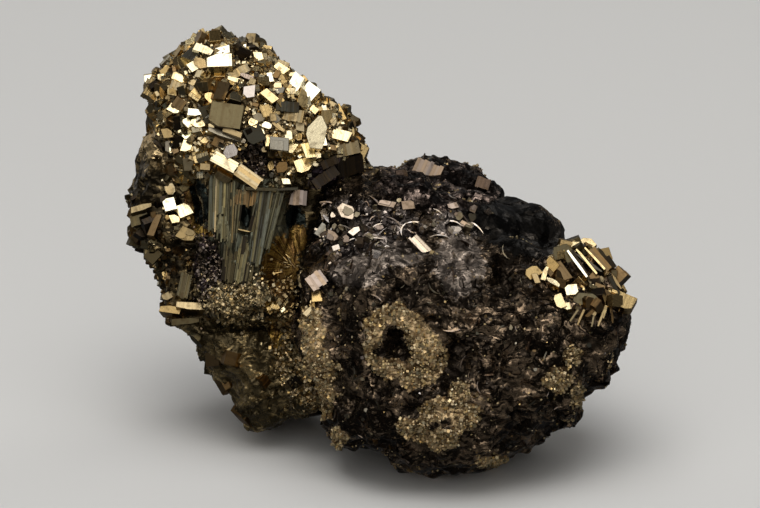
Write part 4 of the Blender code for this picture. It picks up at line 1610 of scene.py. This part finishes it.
HEAD_TONES = {
    WHITE: 0.08, CREAM: 0.26, GOLD: 0.24, TAN: 0.22, BRONZE: 0.08, OLIVE: 0.06,
    GREY: 0.04, DARK: 0.02}
SHOULDER_TONES = {
    CREAM: 0.12, GOLD: 0.25, TAN: 0.2, BRONZE: 0.25, OLIVE: 0.12, DARK: 0.06}
FLANK_TONES = {
    CREAM: 0.02, GOLD: 0.06, TAN: 0.1, BRONZE: 0.36, OLIVE: 0.26, DARK: 0.2}
BRASS_TONES = {
    CREAM: 0.07, GOLD: 0.14, BRASS: 0.36, KHAKI: 0.25, OLIVE: 0.1, BRONZE: 0.08}
FOIL_TONES = {SOOT: 0.35, UMBER: 0.4, PINK: 0.15, GREY: 0.1}
LOBE_TONES = {BRONZE: 0.5, OLIVE: 0.3, DARK: 0.2}
SHELF_TONES = {SILVER: 0.4, PINK: 0.35, GREY: 0.25}
FLAKE_TONES = {SILVER: 0.08, PINK: 0.26, GREY: 0.22, BRONZE: 0.14, SLATE: 0.3}

BLOCKS = {BLOCK: 0.62, STEPPED: 0.2, SLABS: 0.18}
GRAINS = {GRAIN: 1.0}
FLAKES = {PLATE: 1.0}
CURLS = {CURL: 1.0}

HEAD_HOLLOW = Oval((-19.3, 15.3), (2.6, 2.7), 10)
FAN_MIDDLE = (-12.9, -2.2)


@dataclass
class PyriteHead:
    """The leaning head of packed crystals, with the flank, the lobe below it and the blocks on the ledges.

    Each pair of edges is the places on the display face, in millimetres, where a kind of crystal begins and
    where it is full.
    """

    ground: Ground
    placed: tuple[Crystal, ...] = (*HEAD_CRYSTALS, *LEDGE_CRYSTALS, *FLANK_CRYSTALS)
    big: Scatter = Scatter(2200, (0.9, 2.2), 1.1, 0.38, 36, 0.66, HEAD_TONES, BLOCKS)
    small: Scatter = Scatter(9000, (0.4, 1.1), 0.5, 0.24, 45, 0.73, HEAD_TONES, BLOCKS)
    tiny: Scatter = Scatter(7000, (0.2, 0.55), 0, 0.15, 60, 0.6, HEAD_TONES, GRAINS)
    flank: Scatter = Scatter(110, (0.9, 2.2), 1.5, 0.55, 30, 0.02, FLANK_TONES, BLOCKS)
    flank_small: Scatter = Scatter(900, (0.3, 0.9), 0.6, 0.35, 45, 0.12, FLANK_TONES, BLOCKS)
    lobe: Scatter = Scatter(
        40, (1.2, 2.8), 2.4, 0.8, 16, 0, LOBE_TONES, {SLABS: 0.5, STEPPED: 0.5})
    bare: Oval = Oval((-36.6, 14), (3.6, 7))
    hollows: tuple[Oval, ...] = (HEAD_HOLLOW, Oval((-7.6, 13.2), (3.4, 1.8), 30))
    gleaming: Oval = Oval((-12, 19), (5.5, 9.5))
    dull: Oval = Oval((-35, 22.5), (6, 9))
    head_edges: Pair = (11.5, 14)
    flank_edges: Pair = (-29, -31)
    flank_foot: Pair = (-12, -8)
    lobe_edges: Pair = (-8, -10.5)
    least_height: float = 4

    def build(self) -> list[bpy.types.Object]:
        """Grows the crystals.

        Returns:
            The crystals' object and the grains' object.
        """
        places = self.ground.places
        across, up, _ = places.T
        upright = self.ground.centres[:, 2] > self.least_height
        bare = self.bare.share(places)
        head = soft_step(*self.head_edges, up) * (across < 0) * (1 - bare) ** 3
        head = head * (1 - most_of(self.hollows, places)) ** 2
        flank = soft_step(*self.flank_edges, across) * soft_step(*self.flank_foot, up)
        flank = flank * (1 - head) * upright * (1 - bare) ** 2
        lobe = soft_step(*self.lobe_edges, up) * upright
        gleam = 1 + 0.45 * self.gleaming.share(places) - 0.65 * self.dull.share(places)
        crystals = Growth("head_crystals", 5)
        crystals.place(self.ground, self.placed)
        crystals.spread(self.ground, head, self.big, gleam)
        crystals.spread(self.ground, flank, self.flank)
        crystals.spread(self.ground, lobe, self.lobe)
        crystals.spread(self.ground, head, self.small, gleam)
        crystals.spread(self.ground, flank, self.flank_small)
        grains = Growth("head_grains", 6)
        grains.spread(self.ground, head + 0.12 * flank, self.tiny, gleam)
        finish = CrystalFinish().material()
        return [crystals.build(finish), grains.build(finish)]


@dataclass
class FlutedPrism:
    """The fluted panels of the prism, the blades of its golden hollow, and the granular crusts beside it.

    Each crust has the ovals of the display face that it covers.
    """

    ground: Ground
    panels: tuple[Panel, ...] = PANELS
    pale_crust: Scatter = Scatter(
        3600, (0.16, 0.48), 0, 0.12, 60, 0.75, {**BRASS_TONES, TAN: 0.5, CREAM: 0.2}, GRAINS)
    purple_and_hollow_shade_crust: Scatter = Scatter(
        # Dark grains on the purple patch, and in the head's hollow as painted shade.
        2000, (0.14, 0.4), 0, 0.2, 60, 0.3, {PINK: 0.55, DARK: 0.45}, GRAINS)
    gold_crust: Scatter = Scatter(
        700, (0.14, 0.5), 0, 0.12, 60, 0.75, {GOLD: 0.4, BRONZE: 0.45, TAN: 0.15}, GRAINS)
    lobe_crust: Scatter = Scatter(1900, (0.14, 0.44), 0, 0.12, 60, 0.35, BRASS_TONES, GRAINS)
    pale_ovals: tuple[Oval, ...] = (Oval((-22.4, -6.8), (4.2, 2.5), 8),)
    # The purple patch, and the head's hollow, where the dark grains are painted shade.
    purple_and_hollow_shade_ovals: tuple[Oval, ...] = (Oval((-26.9, -2.3), (2, 4.8), 6), HEAD_HOLLOW)
    gold_ovals: tuple[Oval, ...] = (Oval((-15, -6.4), (2.2, 3)), Oval((-14, -10.6), (1.8, 3.2)))
    lobe_ovals: tuple[Oval, ...] = (Oval((-11.4, -22.6), (3, 2.2)), Oval((-13.6, -17.6), (2.4, 5.4), 12))
    flute_depth: float = 3
    flute_tops: Pair = (-0.05, 0.05)
    sunk: Sequence[float] = (0, 0.05, 0.1, 0.45)
    sunk_weights: Sequence[float] = (0.4, 0.25, 0.2, 0.15)
    blades: int = 12
    blade_tones: tuple[Tone, ...] = (GOLD, BRONZE, GOLD, TAN)
    fan: Pair = FAN_MIDDLE

    def build(self) -> bpy.types.Object:
        """Grows the flutes, blades and crusts.

        Returns:
            The prism's object.
        """
        growth = Growth("prism_flutes", 8)
        for panel in self.panels:
            self._add_panel(growth, panel)
        self._add_blades(growth)
        seen = soft_step(0, 0.3, self.ground.towards)
        for crust, ovals in (
                (self.pale_crust, self.pale_ovals), (self.purple_and_hollow_shade_crust, self.purple_and_hollow_shade_ovals),
                (self.gold_crust, self.gold_ovals), (self.lobe_crust, self.lobe_ovals)):
            growth.spread(self.ground, most_of(ovals, self.ground.places) ** 2 * seen, crust)
        finish = CrystalFinish(
            line_width=0.4, line_depth=0.06, line_shade=0.9, line_edges=(0.45, 0.62),
            tarnish=(0.04, 0.034, 0.02), tarnish_share=0.4, dulled=0.12)
        return growth.build(finish.material())

    def _add_panel(self, growth: Growth, panel: Panel) -> None:
        """Adds the flutes of a panel, each broken across into a few lengths.

        Args:
            growth: Where they are gathered.
            panel: The panel.
        """
        chance = growth.chance
        foot, top = np.array(panel.foot), np.array(panel.top)
        middle = (foot + top).mean(axis=0) / 2
        rise = (top - foot).mean(axis=0)
        lean = math.atan2(*rise)
        turn = np.array([(math.cos(lean), math.sin(lean)), (-math.sin(lean), math.cos(lean))])
        foot, top = (foot - middle) @ turn, (top - middle) @ turn
        axes = tipped(-math.degrees(lean), *panel.tip)
        backs = [on_face_point(self.ground.seat(corner))[2] for corner in (*panel.foot, *panel.top)]
        place = face_point(*middle, np.mean(backs) - panel.proud)
        unit = 1 / math.hypot(*rise)
        edges = np.linspace(0, 1, panel.flutes + 1)
        edges[1:-1] += chance.uniform(-0.35, 0.35, panel.flutes - 1) / panel.flutes
        heights = chance.uniform(*self.flute_tops, panel.flutes + 1)
        for i in range(panel.flutes):
            sunk = chance.choice(self.sunk, p=self.sunk_weights)
            breaks = chance.uniform(0.2, 0.8, chance.integers(0, 3))
            cuts = [chance.uniform(-0.7, 0.3) * unit, *np.sort(breaks), 1 + chance.uniform(-0.3, 0.4) * unit]
            for low, high in zip(cuts, cuts[1:]):
                flute = box_solid((0, 0, -self.flute_depth), (1, 1, 0))
                corners = [(1 - s) * ((1 - t) * foot[0] + t * top[0]) + s * ((1 - t) * foot[1] + t * top[1])
                           for t in (low, high) for s in edges[i:i + 2]]
                flute.points[:, :2] = corners * 2
                flute.points[4:, 2] = np.tile(heights[i:i + 2], 2) - sunk - chance.uniform(0, 0.05)
                growth.add(flute, place, axes, picked(panel.tones, chance), (0.8, 1.2))

    def _add_blades(self, growth: Growth) -> None:
        """Adds thin blades that spread from the right edge of the golden hollow.

        Args:
            growth: Where they are gathered.
        """
        chance = growth.chance
        for i in range(self.blades):
            angle = math.radians(chance.uniform(125, 240))
            reach = chance.uniform(0.8, 3)
            at = (self.fan[0] + math.cos(angle) * reach, self.fan[1] + math.sin(angle) * reach)
            size = (0.12, chance.uniform(0.5, 1.4), 0.5)
            axes = tipped(math.degrees(angle) - 90, chance.uniform(5, 25), chance.uniform(-15, 15))
            tone = self.blade_tones[i % len(self.blade_tones)]
            growth.add(crystal_solid(BLOCK, size, chance), self.ground.seat(at), axes, tone)


@dataclass
class DarkMassCrystals:
    """What grows on the dark mass: silvery flakes, dark foil, brass crusts and the shoulder's cluster."""

    ground: Ground
    brass: BrassRegion
    placed: tuple[Crystal, ...] = DARK_MASS_CRYSTALS
    clustered: tuple[Crystal, ...] = SHOULDER_CRYSTALS
    shelf_curls: Scatter = Scatter(240, (1.0, 3.6), 0.6, 0.35, 20, 0.45, SHELF_TONES, CURLS)
    shelf_plates: Scatter = Scatter(
        300, (0.3, 1.6), 0.4, 0.3, 36, 0.35, SHELF_TONES, {PLATE: 0.5, STEPPED: 0.5})
    loose: Scatter = Scatter(600, (0.25, 0.9), 0.4, 0.42, 20, 0.2, FLAKE_TONES, FLAKES)
    foil: Scatter = Scatter(1000, (0.8, 3.2), 0.8, 0.64, 11, 0, FOIL_TONES, CURLS)
    crust: Scatter = Scatter(9000, (0.12, 0.44), 0, 0.1, 70, 0.5, BRASS_TONES, GRAINS)
    specks: Scatter = Scatter(900, (0.14, 0.28), 0, 0.3, 70, 0.25, BRASS_TONES, GRAINS)
    cluster: Scatter = Scatter(260, (0.7, 2.2), 0.95, 0.25, 34, 0.25, SHOULDER_TONES, BLOCKS)
    cluster_small: Scatter = Scatter(600, (0.3, 0.8), 0.4, 0.2, 45, 0.25, BRASS_TONES, BLOCKS)
    shoulder: Oval = Oval((31.5, -3.6), (6.8, 5.6), -20)
    shelf: Oval = Oval((-3, 4.5), (9, 4.5))
    shelf_end: Oval = Oval((13, 5), (5, 2.5))
    smooth: tuple[Oval, ...] = (Oval((21.5, 4.5), (9, 4.6), -22), Oval((9.5, 12), (10, 4)))
    rim: Pair = (0.1, 0.4)
    least_height: float = 1.5

    def build(self) -> list[bpy.types.Object]:
        """Grows the crystals.

        Returns:
            The objects of the pale flakes, the dark foil, the crusts and the shoulder.
        """
        ground = self.ground
        upright = ground.centres[:, 2] > self.least_height
        brass = self.brass.share(ground.places, ground.towards)
        shoulder = self.shoulder.share(ground.places) ** 2
        shelf = self.shelf.share(ground.places) ** 2 + 0.6 * self.shelf_end.share(ground.places) ** 2
        open_ground = (1 - most_of(self.smooth, ground.places)) ** 4
        off_rim = soft_step(*self.rim, np.abs(ground.towards))
        bare = (1 - brass) * (1 - shoulder) * open_ground * upright * off_rim
        flakes = Growth("silvery_flakes", 21)
        flakes.place(ground, self.placed)
        flakes.spread(ground, shelf * upright, self.shelf_curls)
        flakes.spread(ground, shelf * upright, self.shelf_plates)
        flakes.spread(ground, bare, self.loose)
        foil = Growth("dark_foil", 24)
        foil.spread(ground, bare * (brass < 0.45), self.foil)
        crusts = Growth("brass_crusts", 22)
        crusts.spread(ground, soft_step(0.42, 0.62, brass) * upright, self.crust)
        crusts.spread(ground, upright * open_ground * off_rim, self.specks)
        cluster = Growth("shoulder_crystals", 23)
        cluster.place(ground, self.clustered)
        covered = soft_step(0.3, 0.5, shoulder)
        cluster.spread(ground, covered, self.cluster)
        cluster.spread(ground, covered, self.cluster_small)
        finish = CrystalFinish().material()
        dull = CrystalFinish(tarnish_share=0.3, dulled=0.1, metal=0.6).material()
        return [flakes.build(finish), foil.build(finish), crusts.build(dull), cluster.build(finish)]


BRASS_OVALS = tuple(Oval(*given) for given in (
    ((2, -9), (3, 1.6)), ((4.4, -10), (1.7, 2)), ((6.2, -13), (2.4, 2.8)), ((7.8, -16.6), (2.9, 3)),
    ((-0.8, -11.6), (1.7, 2.6)), ((-1.2, -15), (1.3, 2.2)), ((2, -17.6), (2.4, 1.8)),
    ((5.4, -18.6), (3, 1.7)),
    ((12.4, -21.5), (2, 2.4)), ((13, -25), (2.4, 2.6)), ((9, -24), (2.6, 2.2)), ((5.5, -27), (2.6, 1.6)),
    ((9.5, -28.6), (3, 1.8)), ((-10.2, -13.8), (2, 2.6)), ((-10.8, -9.8), (1.5, 2.2)),
    ((30, -15.8), (1.7, 1.5)), ((-9.6, -18), (2.8, 3)), ((-9, -21.8), (2.4, 2.4)),
    ((-10.4, -24), (2.4, 2)), ((28, -19.5), (2.2, 2)), ((31, -22), (1.2, 1.6)), ((-6.4, -28.6), (1.3, 1.8)),
    ((17.4, -32.6), (2.4, 1.4)), ((28.6, -29.4), (1.3, 0.9)), ((1, -33.4), (1.6, 0.7)),
))
BRASS_HOLES = (
    Oval((2.2, -12.6), (1.5, 0.9)), Oval((3.3, -14.6), (0.7, 1.8), 14), Oval((-0.4, -15), (0.8, 0.6)))

HEAD_LOOK = Look((0.10, 0.072, 0.035), (0.80, 0.60, 0.32), 0.35, 0.7, roughness=0.3)
FLUTES_LOOK = Look(
    (0.03, 0.027, 0.015), (0.30, 0.27, 0.15), 0.3, 0.7, roughness=0.42, metal=0.6,
    small_tilt=0.04, large_tilt=0.06, lines=0.09, band=(0.20, 0.21, 0.15))
# Near black: the dark teal of the prism's left edge, and painted shade in the prism's hole and in the cleft
# beside it.
DARK_TEAL_AND_HOLE_SHADE_LOOK = Look(
    (0.012, 0.016, 0.014), (0.10, 0.12, 0.10), 0.5, 0.9, roughness=0.2, metal=0.85,
    small_tilt=0.04, large_tilt=0.1, lines=0.06)
AMBER_LOOK = Look(
    (0.08, 0.036, 0.006), (0.85, 0.55, 0.13), 0.25, 0.7, roughness=0.24, metal=0.7,
    small_tilt=0.05, large_tilt=0.2, lines=0.07, band=(0.42, 0.24, 0.05))
# Dark purple: the purple patch of the prism, and also painted shade in the head's hollows.
PURPLE_AND_HOLLOW_SHADE_LOOK = Look(
    (0.03, 0.02, 0.025), (0.24, 0.17, 0.18), 0.55, 0.8, roughness=0.34, metal=0.8,
    small_tilt=0.6, large_tilt=0.5)
CRUST_LOOK = Look(
    (0.26, 0.20, 0.12), (0.75, 0.62, 0.42), 0.5, 0.8, roughness=0.4, metal=0.5,
    small_tilt=0.7, large_tilt=0.4)
LOBE_LOOK = Look(
    (0.10, 0.075, 0.036), (0.64, 0.47, 0.22), 0.45, 0.75, roughness=0.3, metal=0.8,
    small_tilt=0.15, large_tilt=0.9, striae=0.03)
BRASS_LOOK = Look(
    (0.14, 0.088, 0.04), (0.70, 0.51, 0.28), 0.3, 0.75, roughness=0.4, metal=0.7,
    small_tilt=0.6, large_tilt=0.3)
SHELF_LOOK = Look(
    (0.036, 0.029, 0.026), (0.62, 0.53, 0.47), 0.45, 0.75, roughness=0.24, metal=0.9,
    small_tilt=0.3, large_tilt=0.8, striae=0.035, curl_glints=0.8)
BLACK_LOOK = Look(
    (0.008, 0.007, 0.006), (0.07, 0.06, 0.05), 0.6, 0.9, roughness=0.1, metal=0.8,
    small_tilt=0.05, large_tilt=0.2, lines=0.08)
KNOB_LOOK = Look(
    (0.016, 0.011, 0.009), (0.25, 0.19, 0.16), 0.45, 0.75, roughness=0.26, metal=0.9,
    small_tilt=0.1, large_tilt=0.9, striae=0.03)
# Painted sheen: soft grey highlights painted on the brow of the dark mass.
BROW_SHEEN_LOOK = Look(
    (0.07, 0.056, 0.046), (0.78, 0.65, 0.54), 0.28, 0.75, roughness=0.36, metal=0.8,
    small_tilt=0.1, large_tilt=0.6, striae=0.03, curl_glints=0.6)

PYRITE_REGIONS = (
    Region(HEAD_LOOK, rise=(11, 15)),
    Region(FLUTES_LOOK, (Oval((-20.6, 3.6), (7.2, 9.2), 6),)),
    # The dark teal edge of the prism, then painted shade in its hole and in the cleft beside it.
    Region(DARK_TEAL_AND_HOLE_SHADE_LOOK, (
        Oval((-28.4, 8.4), (1.5, 4), 8), Oval((-21, 6.2), (0.8, 2), 8), Oval((-13.2, 5.4), (1.5, 2.4), 14))),
    Region(AMBER_LOOK, (
        Oval((-15.8, -2.6), (2.9, 5.6), -10), Oval((-12.8, 2.6), (1.4, 2.4)), Oval((-15.8, -6), (3.4, 3)),
        Oval((-30, 7.6), (0.7, 3), 8), Oval((-28, 3.9), (2, 0.7), -24))),
    # The purple patch of the prism, then painted shade: the same dark purple in the two hollows of the head.
    Region(PURPLE_AND_HOLLOW_SHADE_LOOK, (
        Oval((-26.9, -2.3), (2.2, 5), 6), Oval((-19.3, 15.3), (3, 3.1), 10),
        Oval((-7.6, 13.2), (3.8, 2.1), 30))),
    Region(CRUST_LOOK, (Oval((-23, -6.4), (4.8, 2.6), 8),)),
    Region(LOBE_LOOK, rise=(-8.4, -11)),
    Region(CRUST_LOOK, (Oval((-11.2, -22.8), (3, 2.2)), Oval((-13.6, -17.6), (2.2, 5), 12))),
    Region(AMBER_LOOK, (Oval((-15.4, -14.8), (1.2, 4.8), 22),)),
)

BRASS_REGION = BrassRegion(BRASS_LOOK, BRASS_OVALS, holes=BRASS_HOLES)
DARK_REGIONS = (
    BRASS_REGION,
    Region(SHELF_LOOK, (Oval((-3, 4), (9.5, 4.6)), Oval((13, 5), (5, 2.6)))),
    Region(BLACK_LOOK, (Oval((21.5, 4.5), (9, 4.2), -22), Oval((20.5, 8.4), (5, 2.2), -20))),
    Region(KNOB_LOOK, (Oval((9.5, 11), (10, 4.2)),)),
    # Painted sheen on the brow of the dark mass.
    Region(BROW_SHEEN_LOOK, (
        Oval((12.4, -1.6), (4, 4.8), 10), Oval((3.4, 0.2), (3.6, 2)), Oval((-3, -2.4), (4.8, 2.4), 6))),
)


@dataclass
class PyriteGround(Body):
    """The ground of the head, flank, prism and lobe: broken facets, and upright flutes on the prism.

    Pairs named for facets, grain, pushes, steps and waves are a size and a height in millimetres. The others
    are limits on the display face.
    """

    name: str = "pyrite_ground"
    material_name: str = "pyrite_ground"
    masses: dict[str, Mass] = field(default_factory=lambda: PYRITE_MASSES)
    general: Look = Look(
        (0.04, 0.03, 0.016), (0.42, 0.31, 0.15), 0.5, 0.8, roughness=0.3, small_tilt=0.15, striae=0.02)
    regions: tuple[Region, ...] = PYRITE_REGIONS
    cell: float = 0.36
    softening: int = 28
    facets: Pair = (1.5, 0.3)
    grain: Pair = (0.9, 0.12)
    lobe_facets: Pair = (3.4, 0.8)
    lobe_push: float = 3
    lobe_top: float = -9
    head_corner: Pair = (-34.5, 13)
    head_sunk: float = 0.6
    swells: tuple[Dent, ...] = (Dent((-37.5, 12), (3.5, 8), 0.8), Dent((-26.6, -2.4), (2, 4.6), 0.9))
    prism_across: Pair = (-29, -12)
    prism_up: Pair = (-8, 13.5)
    prism_facing: float = 0.2
    prism_calm: float = 0.2
    flute_steps: Pair = (1.7, 0.5)
    flute_waves: Pair = (0.9, 0.45)
    prism_hole: Dent = Dent((-21, 6.2), (0.9, 2.1), -1.2)
    bay_across: Pair = (-23.5, -18.5)
    bay_top: float = 3.5
    bay_raised: float = 0.4
    fan: Pair = FAN_MIDDLE

    def fine_relief(self, point: Vector, place: Triple, towards: float) -> float:
        """How far the skin stands out of the specimen's solid.

        Args:
            point: The point in millimetres.
            place: The same point on the display face.
            towards: How much the surface faces the viewer.

        Returns:
            The height in millimetres.
        """
        across, up, _ = place
        height = facet_height(point, *self.facets) + self.grain[1] * noise.noise(point / self.grain[0])
        if across > self.head_corner[0] and up > self.head_corner[1]:
            height -= self.head_sunk
        height += sum(swell.level(place) for swell in self.swells)
        if up < self.lobe_top:
            height += facet_height(point + noise.noise_vector(point / self.lobe_push), *self.lobe_facets)
        (left, right), (low, high) = self.prism_across, self.prism_up
        if left < across < right and low < up < high and towards > self.prism_facing:
            return self._on_prism(place, height)
        return height

    def _on_prism(self, place: Triple, height: float) -> float:
        """The height of the prism's front: flat steps and soft waves across the flutes, on calmed facets.

        Args:
            place: A place on the display face.
            height: The height of the facets there, in millimetres.

        Returns:
            The height in millimetres.
        """
        across, up, _ = place
        along = self.square_to_flutes(across, up)
        step = noise.cell(Vector((along / self.flute_steps[0], 0, 0))) - 0.5
        wave = noise.noise(Vector((along / self.flute_waves[0], 0, 0)))
        height = self.prism_calm * height + self.flute_steps[1] * step
        height += self.flute_waves[1] * wave + self.prism_hole.level(place)
        in_bay = up < self.bay_top and self.bay_across[0] < across < self.bay_across[1]
        return height + self.bay_raised * in_bay

    @staticmethod
    def square_to_flutes(across: Numbers, up: Numbers) -> Numbers:
        """How far right a place on the prism is, measured square to its flutes, which lean right."""
        return across - (up - 4) * (0.15 + 0.018 * (across + 20))

    def lines(self, places: np.ndarray) -> np.ndarray:
        """The coordinates across and along the growth lines, which fan out in the golden hollow.

        Args:
            places: Rows of across, up and back.

        Returns:
            Rows of across the lines, along them and 0.
        """
        across, up, _ = places.T
        flutes = np.column_stack([self.square_to_flutes(across, up), up, 0 * up])
        x, y = across - self.fan[0], up - self.fan[1]
        fan = np.column_stack([np.arctan2(y, -x) * 6, np.hypot(x, y), 0 * up])
        in_hollow = (across > -17.8) & (abs(up + 3) < 7.5)
        return np.where(in_hollow[:, None], fan, flutes)


@dataclass
class DarkMass(Body):
    """The dark sulphide mass: folded and broken like crumpled foil, but smooth on its black lobe.

    Pairs named for pushes, folds, creases and facets are a size and a height in millimetres.
    """

    name: str = "dark_mass"
    material_name: str = "dark_sulphide"
    masses: dict[str, Mass] = field(default_factory=lambda: DARK_MASSES)
    general: Look = Look(
        (0.020, 0.014, 0.009), (0.34, 0.245, 0.16), 0.45, 0.8, roughness=0.24, metal=0.85,
        small_tilt=0.14, large_tilt=0.8, striae=0.03, curl_glints=0.9)
    regions: tuple[Region, ...] = DARK_REGIONS
    cell: float = 0.4
    softening: int = 24
    rounding: int = 2
    push: Pair = (4, 1.8)
    folds: Pair = (2.6, 0.55)
    creases: Pair = (1.1, 0.08)
    facets: Pair = (2.8, 0.75)
    sunk: float = 0.35
    knob: Dent = Dent((9.5, 11), (10, 4))
    knob_facets: Pair = (3, 0.8)
    black_lobe: Dent = Dent((21.5, 4.5), (9, 5), 0.9)

    def fine_relief(self, point: Vector, place: Triple, towards: float) -> float:
        """How far the skin stands out of the specimen's solid.

        Args:
            point: The point in millimetres.
            place: The same point on the display face.
            towards: How much the surface faces the viewer.

        Returns:
            The height in millimetres.
        """
        pushed = point + noise.noise_vector(point / self.push[0]) * self.push[1]
        fold = 1 - 2 * abs(noise.noise(pushed / self.folds[0]))
        crease = 1 - 2 * abs(noise.noise(pushed / self.creases[0] + Vector((5, 2, 9))))
        height = self.folds[1] * fold * fold + self.creases[1] * crease + facet_height(pushed, *self.facets)
        height -= self.sunk
        height += facet_height(point, *self.knob_facets) * self.knob.level(place)
        return height * (1 - self.black_lobe.level(place))

    def lines(self, places: np.ndarray) -> np.ndarray:
        """The coordinates across and along the growth lines, which run along the black lobe.

        Args:
            places: Rows of across, up and back.

        Returns:
            Rows of across the lines, along them and 0.
        """
        across, up, back = places.T
        return np.column_stack([(up + 0.28 * across) * 1.1 + 0.5 * back, across, 0 * up])


@dataclass(frozen=True)
class Softbox:
    """A square area light that looks at the specimen: where it is, in degrees and metres, and how strong.

    On_metal says whether it shows in the metal's reflections.
    """

    name: str
    azimuth: float
    elevation: float
    distance: float
    side: float
    watts: float
    colour: Colour
    on_metal: bool = True


@dataclass
class Studio:
    """The floor, the soft light and the camera at the photo's viewing angle.

    Middle is the place on the display face that the lights and the camera look at.
    """

    middle: Triple = (0.1, 0.2, 0)
    floor_reach: float = 2
    floor_roughness: float = 0.8
    focal: float = 481.5
    distance: float = 1.6
    floor: Colour = (0.74, 0.74, 0.73)
    ambient: Colour = (0.05, 0.05, 0.05)
    softboxes: tuple[Softbox, ...] = (
        Softbox("key", -8, 64, 0.8, 0.4, 1.0, (1, 0.96, 0.9)),
        Softbox("wide front", -14, 46, 1.1, 1.3, 4.8, (1, 0.97, 0.93)),
        Softbox("front fill", 6, 8, 1.2, 0.9, 0.5, (1, 0.96, 0.9)),
        Softbox("right fill", 60, 25, 1.0, 0.6, 0.4, (1, 0.97, 0.93)),
        Softbox("rim", 130, 42, 0.9, 0.4, 0.7, (1, 0.97, 0.92)),
        Softbox("back fill", 216, 24, 1.3, 1.5, 3.0, (1, 0.97, 0.93)),
        Softbox("floor wash", 0, 80, 1.4, 1.2, 9, (1, 1, 1), on_metal=False),
    )

    def build(self) -> None:
        """Sets up the studio round the specimen."""
        middle = face_point(*self.middle) * MM
        self._lay_floor()
        for box in self.softboxes:
            self._hang(box, middle)
        world = bpy.data.worlds.new("studio")
        bpy.context.scene.world = world
        world.use_nodes = True
        world.node_tree.nodes["Background"].inputs["Color"].default_value = (*self.ambient, 1)
        self._set_camera(middle)
        bpy.context.scene.view_settings.view_transform = "Standard"

    def _lay_floor(self) -> None:
        """Adds the pale floor that the specimen stands on."""
        mesh = bpy.data.meshes.new("floor")
        reach = self.floor_reach
        corners = [(-reach, -reach, 0), (reach, -reach, 0), (reach, reach, 0), (-reach, reach, 0)]
        mesh.from_pydata(corners, [], [(0, 1, 2, 3)])
        shader = Shader("studio_floor")
        shader.feed(shader.principled.inputs["Base Color"], (*self.floor, 1))
        shader.feed(shader.principled.inputs["Roughness"], self.floor_roughness)
        mesh.materials.append(shader.material)
        floor = bpy.data.objects.new("floor", mesh)
        floor.visible_glossy = False
        bpy.context.scene.collection.objects.link(floor)

    @staticmethod
    def _hang(box: Softbox, middle: Vector) -> None:
        """Adds a softbox.

        Args:
            box: The softbox.
            middle: What it looks at, in metres.
        """
        azimuth, elevation = math.radians(box.azimuth), math.radians(box.elevation)
        level = math.cos(elevation)
        towards = Vector((math.sin(azimuth) * level, -math.cos(azimuth) * level, math.sin(elevation)))
        lamp = bpy.data.lights.new(box.name, "AREA")
        lamp.size = box.side
        lamp.energy = box.watts
        lamp.color = box.colour
        obj = bpy.data.objects.new(box.name, lamp)
        obj.visible_glossy = box.on_metal
        obj.location = middle + towards * box.distance
        obj.rotation_euler = towards.to_track_quat("Z", "Y").to_euler()
        bpy.context.scene.collection.objects.link(obj)

    def _set_camera(self, middle: Vector) -> None:
        """Adds the camera.

        Args:
            middle: What it looks at, in metres.
        """
        lens = bpy.data.cameras.new("camera")
        lens.lens = self.focal
        camera = bpy.data.objects.new("camera", lens)
        camera.location = middle + VIEWER * self.distance
        camera.rotation_euler = VIEWER.to_track_quat("Z", "Y").to_euler()
        bpy.context.scene.collection.objects.link(camera)
        bpy.context.scene.camera = camera


def main() -> None:
    """Builds the specimen's looks and its studio, from fixed random seeds."""
    logging.basicConfig(level=logging.INFO, format="%(message)s")
    noise.seed_set(NOISE_SEED)
    ground = PyriteGround().build()
    dark = DarkMass().build()
    pyrite = Ground(ground, 31)
    flutes = FlutedPrism(pyrite).build()
    crystals, grains = PyriteHead(pyrite).build()
    flakes, foil, crusts, cluster = DarkMassCrystals(Ground(dark, 32), BRASS_REGION).build()
    for obj in (ground, dark, flutes, crystals, grains, flakes, foil, crusts, cluster):
        slot = "dark_sulphide" if obj in (dark, flakes, foil) else "pyrite"
        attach(obj, BODY)
        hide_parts(NODE)
        obj.data.calc_loop_triangles()
        LOG.info("%s: %d triangles, slot %s", obj.name, len(obj.data.loop_triangles), slot)
    Studio().build()


if __name__ == "__main__":
    main()
